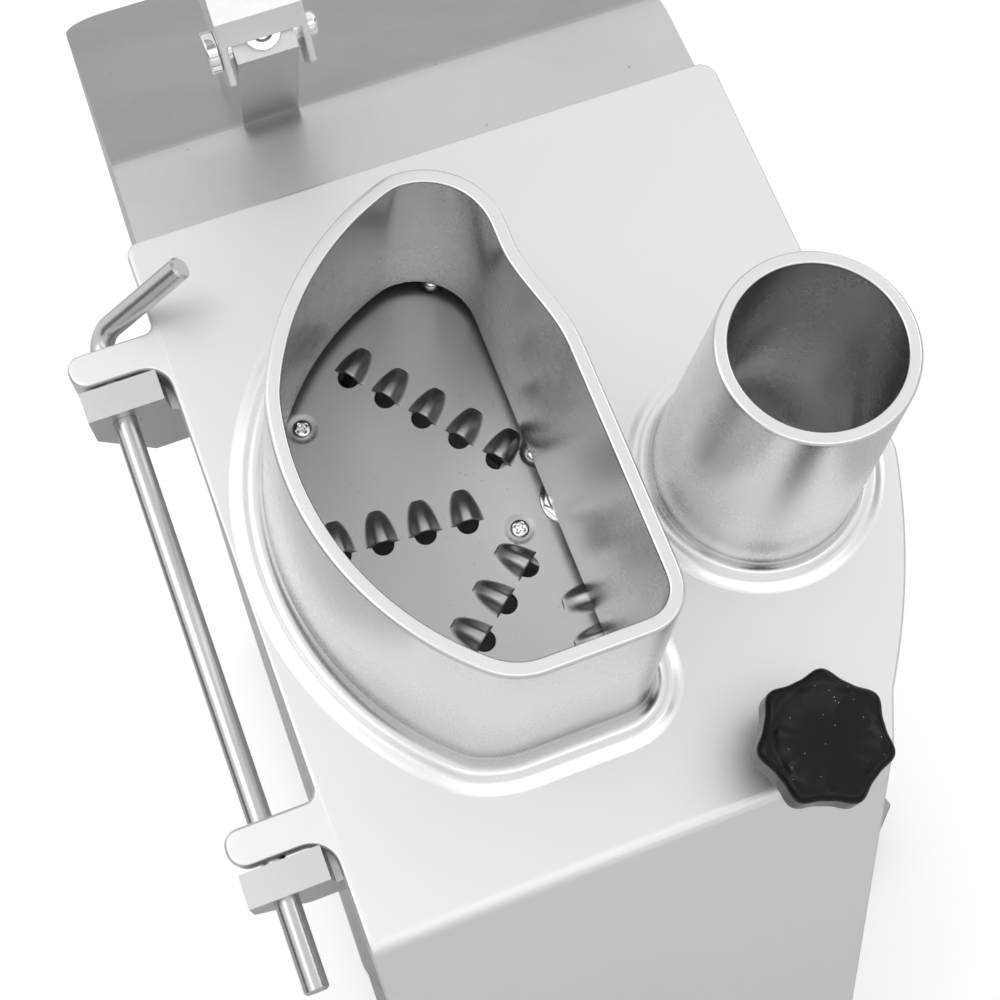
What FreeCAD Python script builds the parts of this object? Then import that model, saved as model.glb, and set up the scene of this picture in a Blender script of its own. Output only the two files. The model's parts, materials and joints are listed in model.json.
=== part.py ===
"""Vegetable cutting machine, in millimetres.

Row frame: +X is right as seen from the front, the front faces -Y, +Z is up and the
feet stand on Z = 0.  The sloping lid has its own frame: u points right, v up the
slope and n out of the lid, with its zero where the disc's axis meets the lid's top
face.  The lever has its own frame too, with its zero at the pivot pin, y along the
arm and z out of the arm's flat face.
"""
import FreeCAD, Part
import math
import os
import re
import Sketcher

os.makedirs("parts", exist_ok=True)
doc = FreeCAD.newDocument("VegetableCutter")
V = FreeCAD.Vector

SIZES = {
    # where things stand
    "base_x": 9.15,            # middle of the base from the middle of the whole machine
    "base_y": 62,
    "axis_x": 4,               # disc axis from the middle of the base
    "axis_y": "=-base_length / 2 - 18",
    "axis_z": 260,
    "lid_slope": 40,
    # casting
    "base_width": 236,
    "base_length": 332,
    "deck_z": 357,
    "draft": 2.1,
    "front_corner": 40,
    "rear_corner": 18,
    "wall": 5,
    "deck_bend": 24,
    "seat_gap": 0.3,
    "seat_flange": 6,
    "bowl_bore": "=disc_radius + 3.5",
    "bowl_depth": 84,
    "bowl_floor": 8,
    "chute_z": 80,
    "chute_wall": 5.5,
    # lid
    "lid_left": "=base_width / 2 - 3",
    "lid_right": "=base_width / 2 - 14",
    "lid_top": 128.5,
    "lid_crease": 121,
    "lid_thick": 12,
    "lid_skin": 7,
    "lid_corner": 5,
    "shoulder_v": -30,
    "bulge_u": "=lid_right - 13.5",
    "bulge_v": -66,
    "waist_u": "=lid_right - 38",
    "waist_v": -107,
    "toe_u": "=lid_right - 80",
    "skirt_bend": 40,
    "skirt_length": 105,
    "body_inset": 2.5,
    # hopper, sizes of its inner outline at the foot and at the rim
    "hopper_foot": 24,
    "hopper_rim": 90,
    "hopper_wall": 4.5,
    "hopper_root": 5.5,
    "foot_arc": "=disc_radius - 2.1",
    "rim_arc": "=foot_arc - 10.9",
    "foot_side": 7.5,
    "rim_side": 6.5,
    "rim_notch": 7,
    "foot_front": 79,
    "rim_front": 72.4,
    "foot_tip": 93.6,
    "rim_tip": 71,
    "hopper_corner": 9,
    "notch_start": 8,
    "foot_notch_end": 62,
    "rim_notch_end": 44,
    "tip_side": 21,
    "foot_tip_u": -34,
    "rim_tip_u": -36,
    "tip_bow": 8.2,
    "tip_drop": 4.2,
    "shoulder_angle": 143.7,
    "shoulder_in": 4.3,
    "arc_start": 166,
    "arc_middle": 198,
    "arc_end": 229,
    "front_corner_u": 13,
    "front_corner_bow": 5.5,
    # round tube
    "tube_u": 56,
    "tube_v": -19.5,
    "tube_rim": 100,
    "tube_bore": 25.2,
    "tube_rim_wall": 4.1,
    "tube_foot_radius": 34.6,
    "tube_root": 5,
    # hinge
    "pin_u": "=-lid_left - 18.5",
    "pin_n": -8,
    "pin_radius": 4,
    "pin_clearance": 0.1,
    "pin_tip_v": -126,
    "pin_bend_v": 94.4,
    "pin_bend_radius": 8,
    "pin_leg": 38,
    "pin_leg_rise": 42,
    "lug_reach": 12.5,
    "lug_depth": 17,
    "lug_root": 2,
    "lid_lug": 12.5,
    "body_lug": 11,
    "lug_gap": 1.2,
    "upper_lug_v": 95,
    "lower_lug_v": -72,
    "gusset": 40,
    # lock knob
    "knob_u": 33,
    "knob_v": -113,
    "knob_top": 30,
    "knob_radius": 21.5,
    "knob_height": 14,
    "knob_scallop": 8,
    "stud_radius": 4,
    "stud_clearance": 1.2,
    "stud_grip": 12,
    "boss_radius": 10,
    # cutting disc and what turns with it
    "disc_n": -30,
    "disc_radius": "=base_width / 2 - 15.5",
    "sheet_thick": 1.5,
    "rows": 8,
    "row_angle": 129.5,
    "tooth_pitch": "=(disc_radius - 14 - first_tooth) / 4",
    "tooth_hole": 3.9,
    "hood_length": 12,
    "hood_rise": 3.4,
    "hood_wall": 0.9,
    "first_tooth": 28.5,
    "hub_radius": 14,
    "hub_eye": 10,
    "rim_ring": 9,
    "carrier_thick": 8,
    "spoke_width": 14,
    "disc_screw_ring": "=disc_radius - 6.8",
    "disc_screw_lag": 14.9,
    "inner_screw_ring": 20.3,
    "screw_head": 3.4,
    "screw_radius": 1.5,
    "shaft_radius": 7.5,
    "shaft_end_n": "=pulley_top - pulley_width - 4",
    "thread_radius": 5,
    "nut_flats": 16,
    "nut_height": 5.5,
    "shaft_stub": 5,
    "ejector_n": "=10 - bowl_depth",
    "ejector_radius": "=disc_radius - 3.5",
    "ejector_thick": 4,
    "paddle_height": 24,
    "bearing_outer": 16,
    "bearing_width": 9,
    "bearing_boss": 24,
    "bearing_depth": 30,
    "seal_width": 6,
    "running_gap": 0.05,
    "pulley_top": "=-bowl_depth - bowl_floor - bearing_depth - 6",
    "pulley_width": 20,
    "big_pulley": 66,
    "small_pulley": 13,
    "pulley_web": 8,
    "belt_width": 15,
    "belt_thick": 3,
    "drive_centres": "=base_length - 197",
    # motor
    "motor_radius": 55,
    "motor_top": "=pulley_top - 29",
    "motor_length": 105,
    "bell_length": 14,
    "motor_shaft": 6,
    "bracket_thick": 5,
    "bracket_half": "=base_width / 2 - 44",
    "bracket_reach": 64,
    "post_radius": 8,
    "bolt_radius": 4,
    # lever
    "lever_u": -50,
    "pivot_v": 162.5,
    "pivot_n": 42.5,
    "lever_lift": 34,
    "lever_swing": 106,
    "arm_width": 30,
    "arm_sheet": 2.5,
    "arm_back": 9,
    "arm_face": 12.5,
    "arm_web_start": 7.6,
    "arm_ear": 12,
    "arm_first": 102,
    "arm_crank": 40,
    "arm_second": 170,
    "pivot_radius": 4,
    "pin_fit": 0.02,
    "post_width": 21,
    "post_foot_v": 168,
    "post_foot_n": -14,
    "post_root_n": -45,
    "post_head": 5.2,
    "post_nose": 5.9,
    "stop_screw_shift": 2.3,
    "stop_screw_radius": 6.5,
    "stop_screw_height": 3.5,
    "stop_socket": 3.2,
    "grip_radius": 14,
    "grip_length": 105,
    "pusher_gap": 4.2,
    "pusher_front_gap": 7,
    "pusher_bottom": -17,
    "pusher_thick": 33,
    "stem_width": 20,
    "stem_length": 34,
    "stem_v": -10,
    "stem_sink": 4,
    "stem_screw_half": 9,
    "stem_screw_radius": 5,
    "stem_screw_height": 4,
    # feet, covers and controls
    "foot_height": 20,
    "foot_radius": 17,
    "foot_inset_x": 24,
    "foot_inset_y": 26,
    "foot_flare": 3,
    "foot_pit": 5,
    "foot_pit_depth": 2,
    "plate_thick": 2,
    "plate_inset": 1,
    "plate_front": 14,
    "plate_rear": 6,
    "cover_width": 150,
    "cover_height": 190,
    "cover_z": 195,
    "cover_sheet": 2,
    "cover_edge": 12,
    "cover_screw_edge": 6,
    "cover_screw_radius": 3.5,
    "cover_screw_height": 2,
    "slot_length": 60,
    "slot_width": 5,
    "slot_pitch": 12,
    "slot_y": 40,
    "panel_y": "=base_length / 2 - 88",
    "panel_z": 250,
    "panel_width": 46,
    "panel_height": 92,
    "panel_thick": 6,
    "panel_corner": 6,
    "button_pitch": 40,
    "button_radius": 12,
    "button_stand": 4,
    "button_gap": 0.4,
    "button_round": 1.5,
    "stem_radius": 7,
    "stem_depth": 9,
    "switch_room": 4,
    "switch_margin": 9,
    "socket_radius": 3,
    "socket_depth": 6,
    "switch_deep": 15,
    "switch_leg": 4,
    "gland_radius": 8,
    "gland_bore": 4,
    "gland_flange": 13,
    "gland_collar": 7,
    "gland_length": 18,
    "gland_tail": 6,
    "gland_z": 70,
    "wall_room": 17,
    "can_radius": 17,
    "can_height": 70,
    "can_y": 90,
    "terminal_length": 44,
    "terminal_width": 20,
    "terminal_height": 16,
    "gland_x": -70,
}
ALIASES = set(SIZES)


def make_sheet():
    """The driving dimensions, one row each, as a spreadsheet of the document."""
    page = doc.addObject("Spreadsheet::Sheet", "Sizes")
    for row, alias in enumerate(SIZES, start=1):
        page.set("A%d" % row, alias.replace("_", " "))
        page.setAlias("B%d" % row, alias)
    for row, value in enumerate(SIZES.values(), start=1):
        page.set("B%d" % row, str(value))
    doc.recompute()
    return page


sheet = make_sheet()


def size(alias):
    """One driving dimension as a number."""
    return float(sheet.get(alias))


def formula(text):
    """The text with each alias pointed at the spreadsheet."""
    def point(word):
        return "Sizes." + word[0] if word[0] in ALIASES else word[0]
    return re.sub(r"[a-z][a-z0-9_]*", point, str(text))


def tie(obj, **properties):
    """Bind each property of an object to a formula in the aliases."""
    for name, text in properties.items():
        obj.setExpression(name.replace("__", "."), formula(text))
    return obj


def move_to(obj, x="0", y="0", z="0", axis=(1, 0, 0), angle=None):
    """Bind an object's place, and its turn about an axis when one is given."""
    rotation = FreeCAD.Rotation(V(*axis), 10 if angle is not None else 0)
    obj.Placement = FreeCAD.Placement(V(0, 0, 0), rotation)
    tie(obj, Placement__Base__x=x, Placement__Base__y=y, Placement__Base__z=z)
    if angle is not None:
        obj.setExpression("Placement.Rotation.Angle", formula(angle))
    return obj


def upright(obj, x="0", y="0", z="0"):
    """Stand an object in the row frame, x and y counted from the middle of the base."""
    return move_to(obj, "base_x + %s" % x, "base_y + %s" % y, z)


def on_slope(obj, u="0", v="0", n="0"):
    """Lay an object in the lid's frame, with its own z along n."""
    x = "base_x + axis_x + (%s)" % u
    y = "base_y + axis_y + (%s) * cos(lid_slope) - (%s) * sin(lid_slope)" % (v, n)
    z = "axis_z + (%s) * sin(lid_slope) + (%s) * cos(lid_slope)" % (v, n)
    return move_to(obj, x, y, z, (1, 0, 0), "lid_slope")


def on_lever(obj):
    """Hang an object on the raised lever, in the lever's own frame."""
    on_slope(obj, "lever_u", "pivot_v", "pivot_n")
    obj.setExpression("Placement.Rotation.Angle", formula("lid_slope + lever_lift"))
    return obj


def on_side(obj, y, z):
    """Set an object against the leaning right wall, with its own z pointing out of it."""
    x = "base_x + base_width / 2 - (%s - foot_height) * tan(draft)" % z
    return move_to(obj, x, "base_y + %s" % y, z, (0, 1, 0), "90 - draft")


def on_rear(obj, x, z):
    """Set an object against the leaning rear wall, with its own z pointing out of it."""
    y = "base_y + base_length / 2 - (%s - foot_height) * tan(draft)" % z
    return move_to(obj, "base_x + %s" % x, y, z, (1, 0, 0), "draft - 90")


def label(obj, name):
    """Name a finished sub-part; the name is also its file's."""
    obj.Label = name
    parts.append(obj)
    return obj


parts = []


# Primitives and booleans

def box(name, length, width, height, x="0", y="0", z="0"):
    obj = doc.addObject("Part::Box", name)
    tie(obj, Length=length, Width=width, Height=height)
    return move_to(obj, x, y, z)


def cylinder(name, radius, height, x="0", y="0", z="0", axis=(1, 0, 0), angle=None):
    obj = doc.addObject("Part::Cylinder", name)
    tie(obj, Radius=radius, Height=height)
    return move_to(obj, x, y, z, axis, angle)


def cone(name, low, high, height, x="0", y="0", z="0"):
    obj = doc.addObject("Part::Cone", name)
    tie(obj, Radius1=low, Radius2=high, Height=height)
    return move_to(obj, x, y, z)


def join(name, *shapes):
    obj = doc.addObject("Part::MultiFuse", name)
    obj.Shapes = list(shapes)
    return obj


def take(name, base, *tools):
    obj = doc.addObject("Part::Cut", name)
    obj.Base = base
    obj.Tool = tools[0] if len(tools) == 1 else join(name + "Tools", *tools)
    return obj


def feature(name, shape):
    """A shape that needs curves or lofts, made from the sheet's values."""
    obj = doc.addObject("Part::Feature", name)
    obj.Shape = shape
    return obj


def group(name, solids):
    """Identical fasteners as one compound of separate solids."""
    return feature(name, Part.makeCompound(solids))


# Sketched bodies

def origin_plane(body, role):
    return next(f for f in body.Origin.OriginFeatures if f.Role == role)


def new_sketch(body, plane, name):
    sketch = body.newObject("Sketcher::SketchObject", name)
    sketch.AttachmentSupport = [(origin_plane(body, plane), "")]
    sketch.MapMode = "FlatFace"
    return sketch


def pin_point(sketch, edge, point, start, x, y):
    """Hold one sketch point at two formulas, counted from the sketch's origin."""
    for kind, value, text in (("DistanceX", start[0], x), ("DistanceY", start[1], y)):
        number = sketch.addConstraint(Sketcher.Constraint(kind, -1, 1, edge, point, value))
        sketch.setExpression("Constraints[%d]" % number, formula(text))


def polygon(body, plane, name, corners):
    """A closed sketch of straight edges with every corner tied to the sheet."""
    sketch = new_sketch(body, plane, name)
    count = len(corners)
    starts = [(10 + 5 * math.cos(2 * math.pi * i / count),
               10 + 5 * math.sin(2 * math.pi * i / count)) for i in range(count)]
    for i in range(count):
        first, second = starts[i], starts[(i + 1) % count]
        sketch.addGeometry(Part.LineSegment(V(*first, 0), V(*second, 0)))
    for i in range(count):
        sketch.addConstraint(Sketcher.Constraint("Coincident", i, 2, (i + 1) % count, 1))
    for i, (x, y) in enumerate(corners):
        pin_point(sketch, i, 1, starts[i], x, y)
    return sketch


def circles(body, plane, name, rounds):
    """Circles, each given as x, y and radius formulas."""
    sketch = new_sketch(body, plane, name)
    for i, (x, y, radius) in enumerate(rounds):
        start = (7.0 + 9 * i, 3.0)
        sketch.addGeometry(Part.Circle(V(*start, 0), V(0, 0, 1), 2))
        number = sketch.addConstraint(Sketcher.Constraint("Radius", i, 2))
        sketch.setExpression("Constraints[%d]" % number, formula(radius))
        pin_point(sketch, i, 3, start, x, y)
    return sketch


def turned(name, corners):
    """A body turned about its own z from a half profile of radius and height."""
    body = doc.addObject("PartDesign::Body", name)
    profile = polygon(body, "XZ_Plane", name + "Profile", corners)
    spin = body.newObject("PartDesign::Revolution", name + "Turn")
    spin.Profile = profile
    spin.ReferenceAxis = (profile, ["V_Axis"])
    spin.Angle = 360
    body.Tip = spin
    return body


def padded(name, sketch_maker, thickness, down=False):
    """A body padded from one sketch on its own XY plane."""
    body = doc.addObject("PartDesign::Body", name)
    profile = sketch_maker(body)
    pad = body.newObject("PartDesign::Pad", name + "Pad")
    pad.Profile = profile
    pad.Reversed = down
    tie(pad, Length=thickness)
    body.Tip = pad
    return body


def pocket(body, name, sketch):
    """Cut a sketch through the whole body, both ways."""
    cut = body.newObject("PartDesign::Pocket", name)
    cut.Profile = sketch
    cut.Type = 1
    cut.Midplane = True
    body.Tip = cut
    return cut


def rectangle(x0, x1, y0, y1):
    return [(x0, y0), (x1, y0), (x1, y1), (x0, y1)]


# Curves used by the castings

def rad(angle):
    return math.radians(angle)


def polar(radius, angle, n=0.0):
    return V(radius * math.cos(rad(angle)), radius * math.sin(rad(angle)), n)


def closed_face(edges):
    return Part.Face(Part.Wire(edges))


def line(a, b):
    return Part.LineSegment(a, b).toShape()


def arc(a, middle, b):
    return Part.Arc(a, middle, b).toShape()


def slope_placement():
    place = V(size("base_x") + size("axis_x"), size("base_y") + size("axis_y"), size("axis_z"))
    return FreeCAD.Placement(place, FreeCAD.Rotation(V(1, 0, 0), size("lid_slope")))


def slope_point(v, n):
    """A point of the lid's middle plane as row-frame y and z, counted from the base."""
    tilt = rad(size("lid_slope"))
    y = size("axis_y") + v * math.cos(tilt) - n * math.sin(tilt)
    return y, size("axis_z") + v * math.sin(tilt) + n * math.cos(tilt)


def skirt_foot(depth):
    """Where the bent front ends, at this depth under the lid's outer face: v and n."""
    bend = rad(size("skirt_bend"))
    v = -size("lid_crease") - size("skirt_length") * math.cos(bend) + depth * math.sin(bend)
    return v, -size("skirt_length") * math.sin(bend) - depth * math.cos(bend)


def lid_outline(inset, top, n):
    """The lid's plan outline, drawn this far inside its edge and up to v = top."""
    left, right = -size("lid_left") + inset, size("lid_right") - inset
    toe_v = skirt_foot(0)[0]
    shoulder = V(right, size("shoulder_v"), n)
    bulge = V(size("bulge_u") - inset, size("bulge_v") + 0.4 * inset, n)
    waist = V(size("waist_u") - inset, size("waist_v") + 0.4 * inset, n)
    toe = V(size("toe_u") - inset, toe_v, n)
    corners = [V(left, toe_v, n), V(left, top, n), V(right, top, n), shoulder]
    edges = [line(corners[i], corners[i + 1]) for i in range(3)]
    edges += [arc(shoulder, bulge, waist), line(waist, toe), line(toe, corners[0])]
    return closed_face(edges)


def hopper_outline(n, offset):
    """The hopper's outline at height n, moved outwards by offset."""
    foot, rim = -size("hopper_foot"), size("hopper_rim")
    share = (n - foot) / (rim - foot)

    def blend(low, high):
        return low + (high - low) * share

    radius = blend(size("foot_arc"), size("rim_arc")) + offset
    side = -blend(size("foot_side"), size("rim_side")) + offset
    notch = blend(0, size("rim_notch"))
    front = -blend(size("foot_front"), size("rim_front")) - offset
    tip = blend(size("foot_tip"), size("rim_tip")) + offset
    corner = size("hopper_corner") + offset
    notch_low = size("notch_start")
    notch_high = blend(size("foot_notch_end"), size("rim_notch_end"))
    tip_end = V(side - notch, tip - size("tip_side") - offset, n)
    tip_start = V(blend(size("foot_tip_u"), size("rim_tip_u")), tip, n)
    tip_mid = V(side - notch - size("tip_bow"), tip - size("tip_drop"), n)
    shoulder_mid = polar(radius - blend(0, size("shoulder_in")), size("shoulder_angle"), n)
    arc_top = polar(radius, size("arc_start"), n)
    arc_low = polar(radius, size("arc_end"), n)
    bow = size("front_corner_bow")
    front_left = V(arc_low.x + size("front_corner_u"), front, n)
    corner_mid = V(arc_low.x + bow, front + bow / 4, n)
    right_low = V(side, front + corner, n)
    front_right = V(side - corner, front, n)
    bite = corner * (1 - 1 / math.sqrt(2))
    right_mid = V(side - bite, front + bite, n)
    wall_low, wall_high = V(side, notch_low, n), V(side - notch, notch_high, n)
    curve = Part.BSplineCurve()
    curve.interpolate(Points=[wall_low, wall_high], InitialTangent=V(0, 1, 0), FinalTangent=V(0, 1, 0))
    return Part.Wire([
        line(right_low, wall_low),
        curve.toShape(),
        line(wall_high, tip_end),
        arc(tip_end, tip_mid, tip_start),
        arc(tip_start, shoulder_mid, arc_top),
        arc(arc_top, polar(radius, size("arc_middle"), n), arc_low),
        arc(arc_low, corner_mid, front_left),
        line(front_left, front_right),
        arc(front_right, right_mid, right_low),
    ])


def hopper_solid(low, high, low_offset, high_offset):
    """The hopper's leaning form between two heights."""
    wires = [hopper_outline(low, low_offset), hopper_outline(high, high_offset)]
    return Part.makeLoft(wires, True, True)


def rounded_rectangle(half_x, half_y, z, front, rear):
    """A plan outline of the casting with its own front and rear corner radii."""
    def corner(x, y, radius):
        sx, sy = math.copysign(1, x), math.copysign(1, y)
        centre = V(x - sx * radius, y - sy * radius, z)
        middle = centre + V(sx, sy, 0) * (radius / math.sqrt(2))
        return V(centre.x, y, z), middle, V(x, centre.y, z)

    a, b = corner(half_x, -half_y, front), corner(half_x, half_y, rear)
    c, d = corner(-half_x, half_y, rear), corner(-half_x, -half_y, front)
    return Part.Wire([
        arc(*a), line(a[2], b[2]), arc(*reversed(b)), line(b[0], c[0]),
        arc(*c), line(c[2], d[2]), arc(*reversed(d)), line(d[0], a[0]),
    ])


def leaning_block(inset, low, high):
    """The casting's drafted block between two heights, drawn inset from its outside."""
    def ring(z):
        lean = (z - size("foot_height")) * math.tan(rad(size("draft")))
        half_x = size("base_width") / 2 - lean - inset
        half_y = size("base_length") / 2 - lean - inset
        return rounded_rectangle(half_x, half_y, z, size("front_corner") - inset,
                                 size("rear_corner") - inset)

    return Part.makeLoft([ring(low), ring(high)], True, True)


def side_plate(points, half_width):
    """A solid with this row-frame y and z outline, spread evenly about the base's middle."""
    corners = [V(-half_width, y, z) for y, z in points]
    return Part.Face(Part.makePolygon(corners + corners[:1])).extrude(V(2 * half_width, 0, 0))


# The lid: one casting with the hopper, the round tube, the bent front and two hinge lugs

def lid_plate():
    """The flat lid and its bent front, trimmed to the plan outline."""
    thick = size("lid_thick")
    outer_v, outer_n = skirt_foot(0)
    inner_v, inner_n = skirt_foot(thick)
    crease = -size("lid_crease")
    inner_crease = crease + thick * math.tan(rad(size("skirt_bend")) / 2)
    top = size("lid_top")
    side = [(top, 0), (top, -thick), (inner_crease, -thick), (inner_v, inner_n),
            (outer_v, outer_n), (crease, 0)]
    wide = 300
    corners = [V(-wide / 2, v, n) for v, n in side]
    strip = Part.Face(Part.makePolygon(corners + corners[:1])).extrude(V(wide, 0, 0))
    deep = -outer_n + 20
    plan = lid_outline(0, top, -deep).extrude(V(0, 0, deep + 1))
    plate = strip.common(plan)
    round_corners = [e for e in plate.Edges if abs(e.Vertexes[0].X - e.Vertexes[-1].X) < 1e-6
                     and all(abs(p.Y - top) < 1e-6 for p in e.Vertexes)]
    plate = plate.makeFillet(size("lid_corner"), round_corners)
    bend = [e for e in plate.Edges if all(abs(p.Y - crease) < 1e-6 and abs(p.Z) < 1e-6
                                          for p in e.Vertexes)]
    plate = plate.makeFillet(size("lid_corner"), bend)
    recess = Part.makeCylinder(size("bowl_bore") - 3, thick - size("lid_skin"), V(0, 0, -thick))
    return plate.cut(recess)


def lug(name, upper_v, width):
    """A hinge lug reaching from the lid's edge over the pin."""
    reach = "lug_reach - pin_u - lid_left + lug_root"
    block = box(name + "Block", "%s - lug_depth / 2" % reach, width, "lug_depth",
                "lug_root - lid_left - (%s) + lug_depth / 2" % reach, "%s - %s" % (upper_v, width),
                "-lug_depth")
    nose = cylinder(name + "Nose", "lug_depth / 2", width,
                    "pin_u - lug_reach + lug_depth / 2", upper_v, "-lug_depth / 2", (1, 0, 0), "90")
    return block, nose


def make_lid():
    plate = feature("LidPlate", lid_plate())
    foot, rim, wall = -size("hopper_foot"), size("hopper_rim"), size("hopper_wall")
    hopper = feature("HopperOuter", hopper_solid(foot, rim, wall, wall))
    root = size("hopper_root")
    hopper_foot = feature("HopperRoot", hopper_solid(-1, root + 1, wall + root + 1, wall - 1))
    hollow = feature("HopperInner", hopper_solid(foot - 1, rim + 1, 0, 0))
    tube = cone("TubeOuter", "tube_foot_radius", "tube_bore + tube_rim_wall", "tube_rim",
                "tube_u", "tube_v", "0")
    tube_root = cone("TubeRoot", "tube_foot_radius + tube_root", "tube_foot_radius - 1",
                     "tube_root", "tube_u", "tube_v", "0")
    tube_boss = cylinder("TubeBoss", "tube_bore + tube_rim_wall", "hopper_foot + 1",
                         "tube_u", "tube_v", "-hopper_foot")
    bore = cylinder("TubeBore", "tube_bore", "tube_rim + hopper_foot + 2",
                    "tube_u", "tube_v", "-hopper_foot - 1")
    upper = lug("UpperLug", "upper_lug_v", "lid_lug")
    lower = lug("LowerLug", "lower_lug_v", "lid_lug")
    pin_bore = cylinder("LidPinBore", "pin_radius + pin_clearance", "lid_top - lid_crease + 300",
                        "pin_u", "lid_top", "pin_n", (1, 0, 0), "90")
    knob_hole = cylinder("KnobHole", "stud_radius + 0.3", "lid_thick + 20", "knob_u", "knob_v",
                         "-lid_thick - 5")
    solid = join("LidSolid", plate, hopper, hopper_foot, tube, tube_root, tube_boss, *upper, *lower)
    lid = take("Lid", solid, hollow, bore, pin_bore, knob_hole)
    label(on_slope(lid), "lid")


# The casting: chamber, motor bay, chute sides, deck, lever post and the fixed hinge lugs

def seat_depth():
    return size("lid_thick") + size("seat_gap")


def body_lug(upper_v):
    """A fixed lug with its gusset down the casting's left wall."""
    axis_u, top, deep = size("pin_u"), 0, -size("lug_depth")
    left = -size("lid_left")
    outer = axis_u - size("lug_reach") + 1.4
    wall_u = left + size("body_inset") + 4
    outline = [(left - 3.5, top), (outer, top), (outer, deep), (axis_u + 6, -size("gusset")),
               (wall_u, -size("gusset")), (wall_u, -seat_depth()), (left - 2.5, -seat_depth())]
    corners = [V(u, upper_v, n) for u, n in outline]
    plate = Part.Face(Part.makePolygon(corners + corners[:1]))
    return plate.extrude(V(0, -size("body_lug"), 0))


def front_block(inset, points):
    """Part of the chute, within the lid's outline and this row-frame side outline."""
    deep = 260
    plan = lid_outline(inset, size("lid_top"), -deep).extrude(V(0, 0, deep + 20))
    middle = V(-size("axis_x"), 0, 0)
    plate = side_plate(points, 200)
    local = plate.copy()
    local.translate(middle - V(0, size("axis_y"), size("axis_z")))
    local.rotate(V(0, 0, 0), V(1, 0, 0), -size("lid_slope"))
    return plan.common(local)


def lean_at(z):
    return (z - size("foot_height")) * math.tan(rad(size("draft")))


def chute_outlines():
    """Side outlines of the chute: its outside and the space between its walls."""
    seat = -seat_depth()
    thick = size("lid_thick") + size("seat_gap")
    crease = -size("lid_crease") + thick * math.tan(rad(size("skirt_bend")) / 2)
    foot_v, foot_n = skirt_foot(thick)
    chute_z = size("chute_z")
    crease_y, crease_z = slope_point(crease, seat)
    foot_y, foot_z = slope_point(foot_v, foot_n)
    share = (crease_z - chute_z) / (crease_z - foot_z)
    toe_y = crease_y + (foot_y - crease_y) * share
    wall_y = -size("base_length") / 2 + lean_at(chute_z)
    outer = [slope_point(60, seat), (crease_y, crease_z), (toe_y, chute_z),
             (wall_y + 3, chute_z), slope_point(60, -size("bowl_depth") - size("bowl_floor"))]
    floor_n = -size("bowl_depth")
    tilt = rad(size("lid_slope"))
    floor_v = (wall_y - size("axis_y") + floor_n * math.sin(tilt)) / math.cos(tilt)
    low = seat - size("seat_flange")
    inner = [(wall_y, chute_z - 5), slope_point(floor_v, floor_n), slope_point(floor_v, low),
             slope_point(crease + 6, low), (crease_y - 20, crease_z - 24),
             (toe_y - 60, chute_z - 5)]
    return outer, inner


def lever_axes():
    """Out of the raised lever's flat face, and along the lever, in the lid's frame."""
    lift = rad(size("lever_lift"))
    return V(0, -math.sin(lift), math.cos(lift)), V(0, math.cos(lift), math.sin(lift))


def lever_post():
    """The cast post that carries the lever, as an outline across the slope."""
    along, across = lever_axes()
    foot, root, head = size("post_foot_v"), size("post_root_n"), size("post_head")
    pivot = V(0, size("pivot_v"), size("pivot_n"))
    seat = pivot + along * head
    corners = [V(0, foot, size("post_foot_n")), seat - across * size("post_nose"),
               seat + across * head, pivot + across * 2 * head, pivot + across * 2 * head - along * head,
               V(0, foot + 2 * size("post_width"), root), V(0, foot, root)]
    post = Part.Face(Part.makePolygon(corners + corners[:1])).extrude(V(size("post_width"), 0, 0))
    post.translate(V(size("lever_u") - size("post_width") / 2, 0, 0))
    return post


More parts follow.
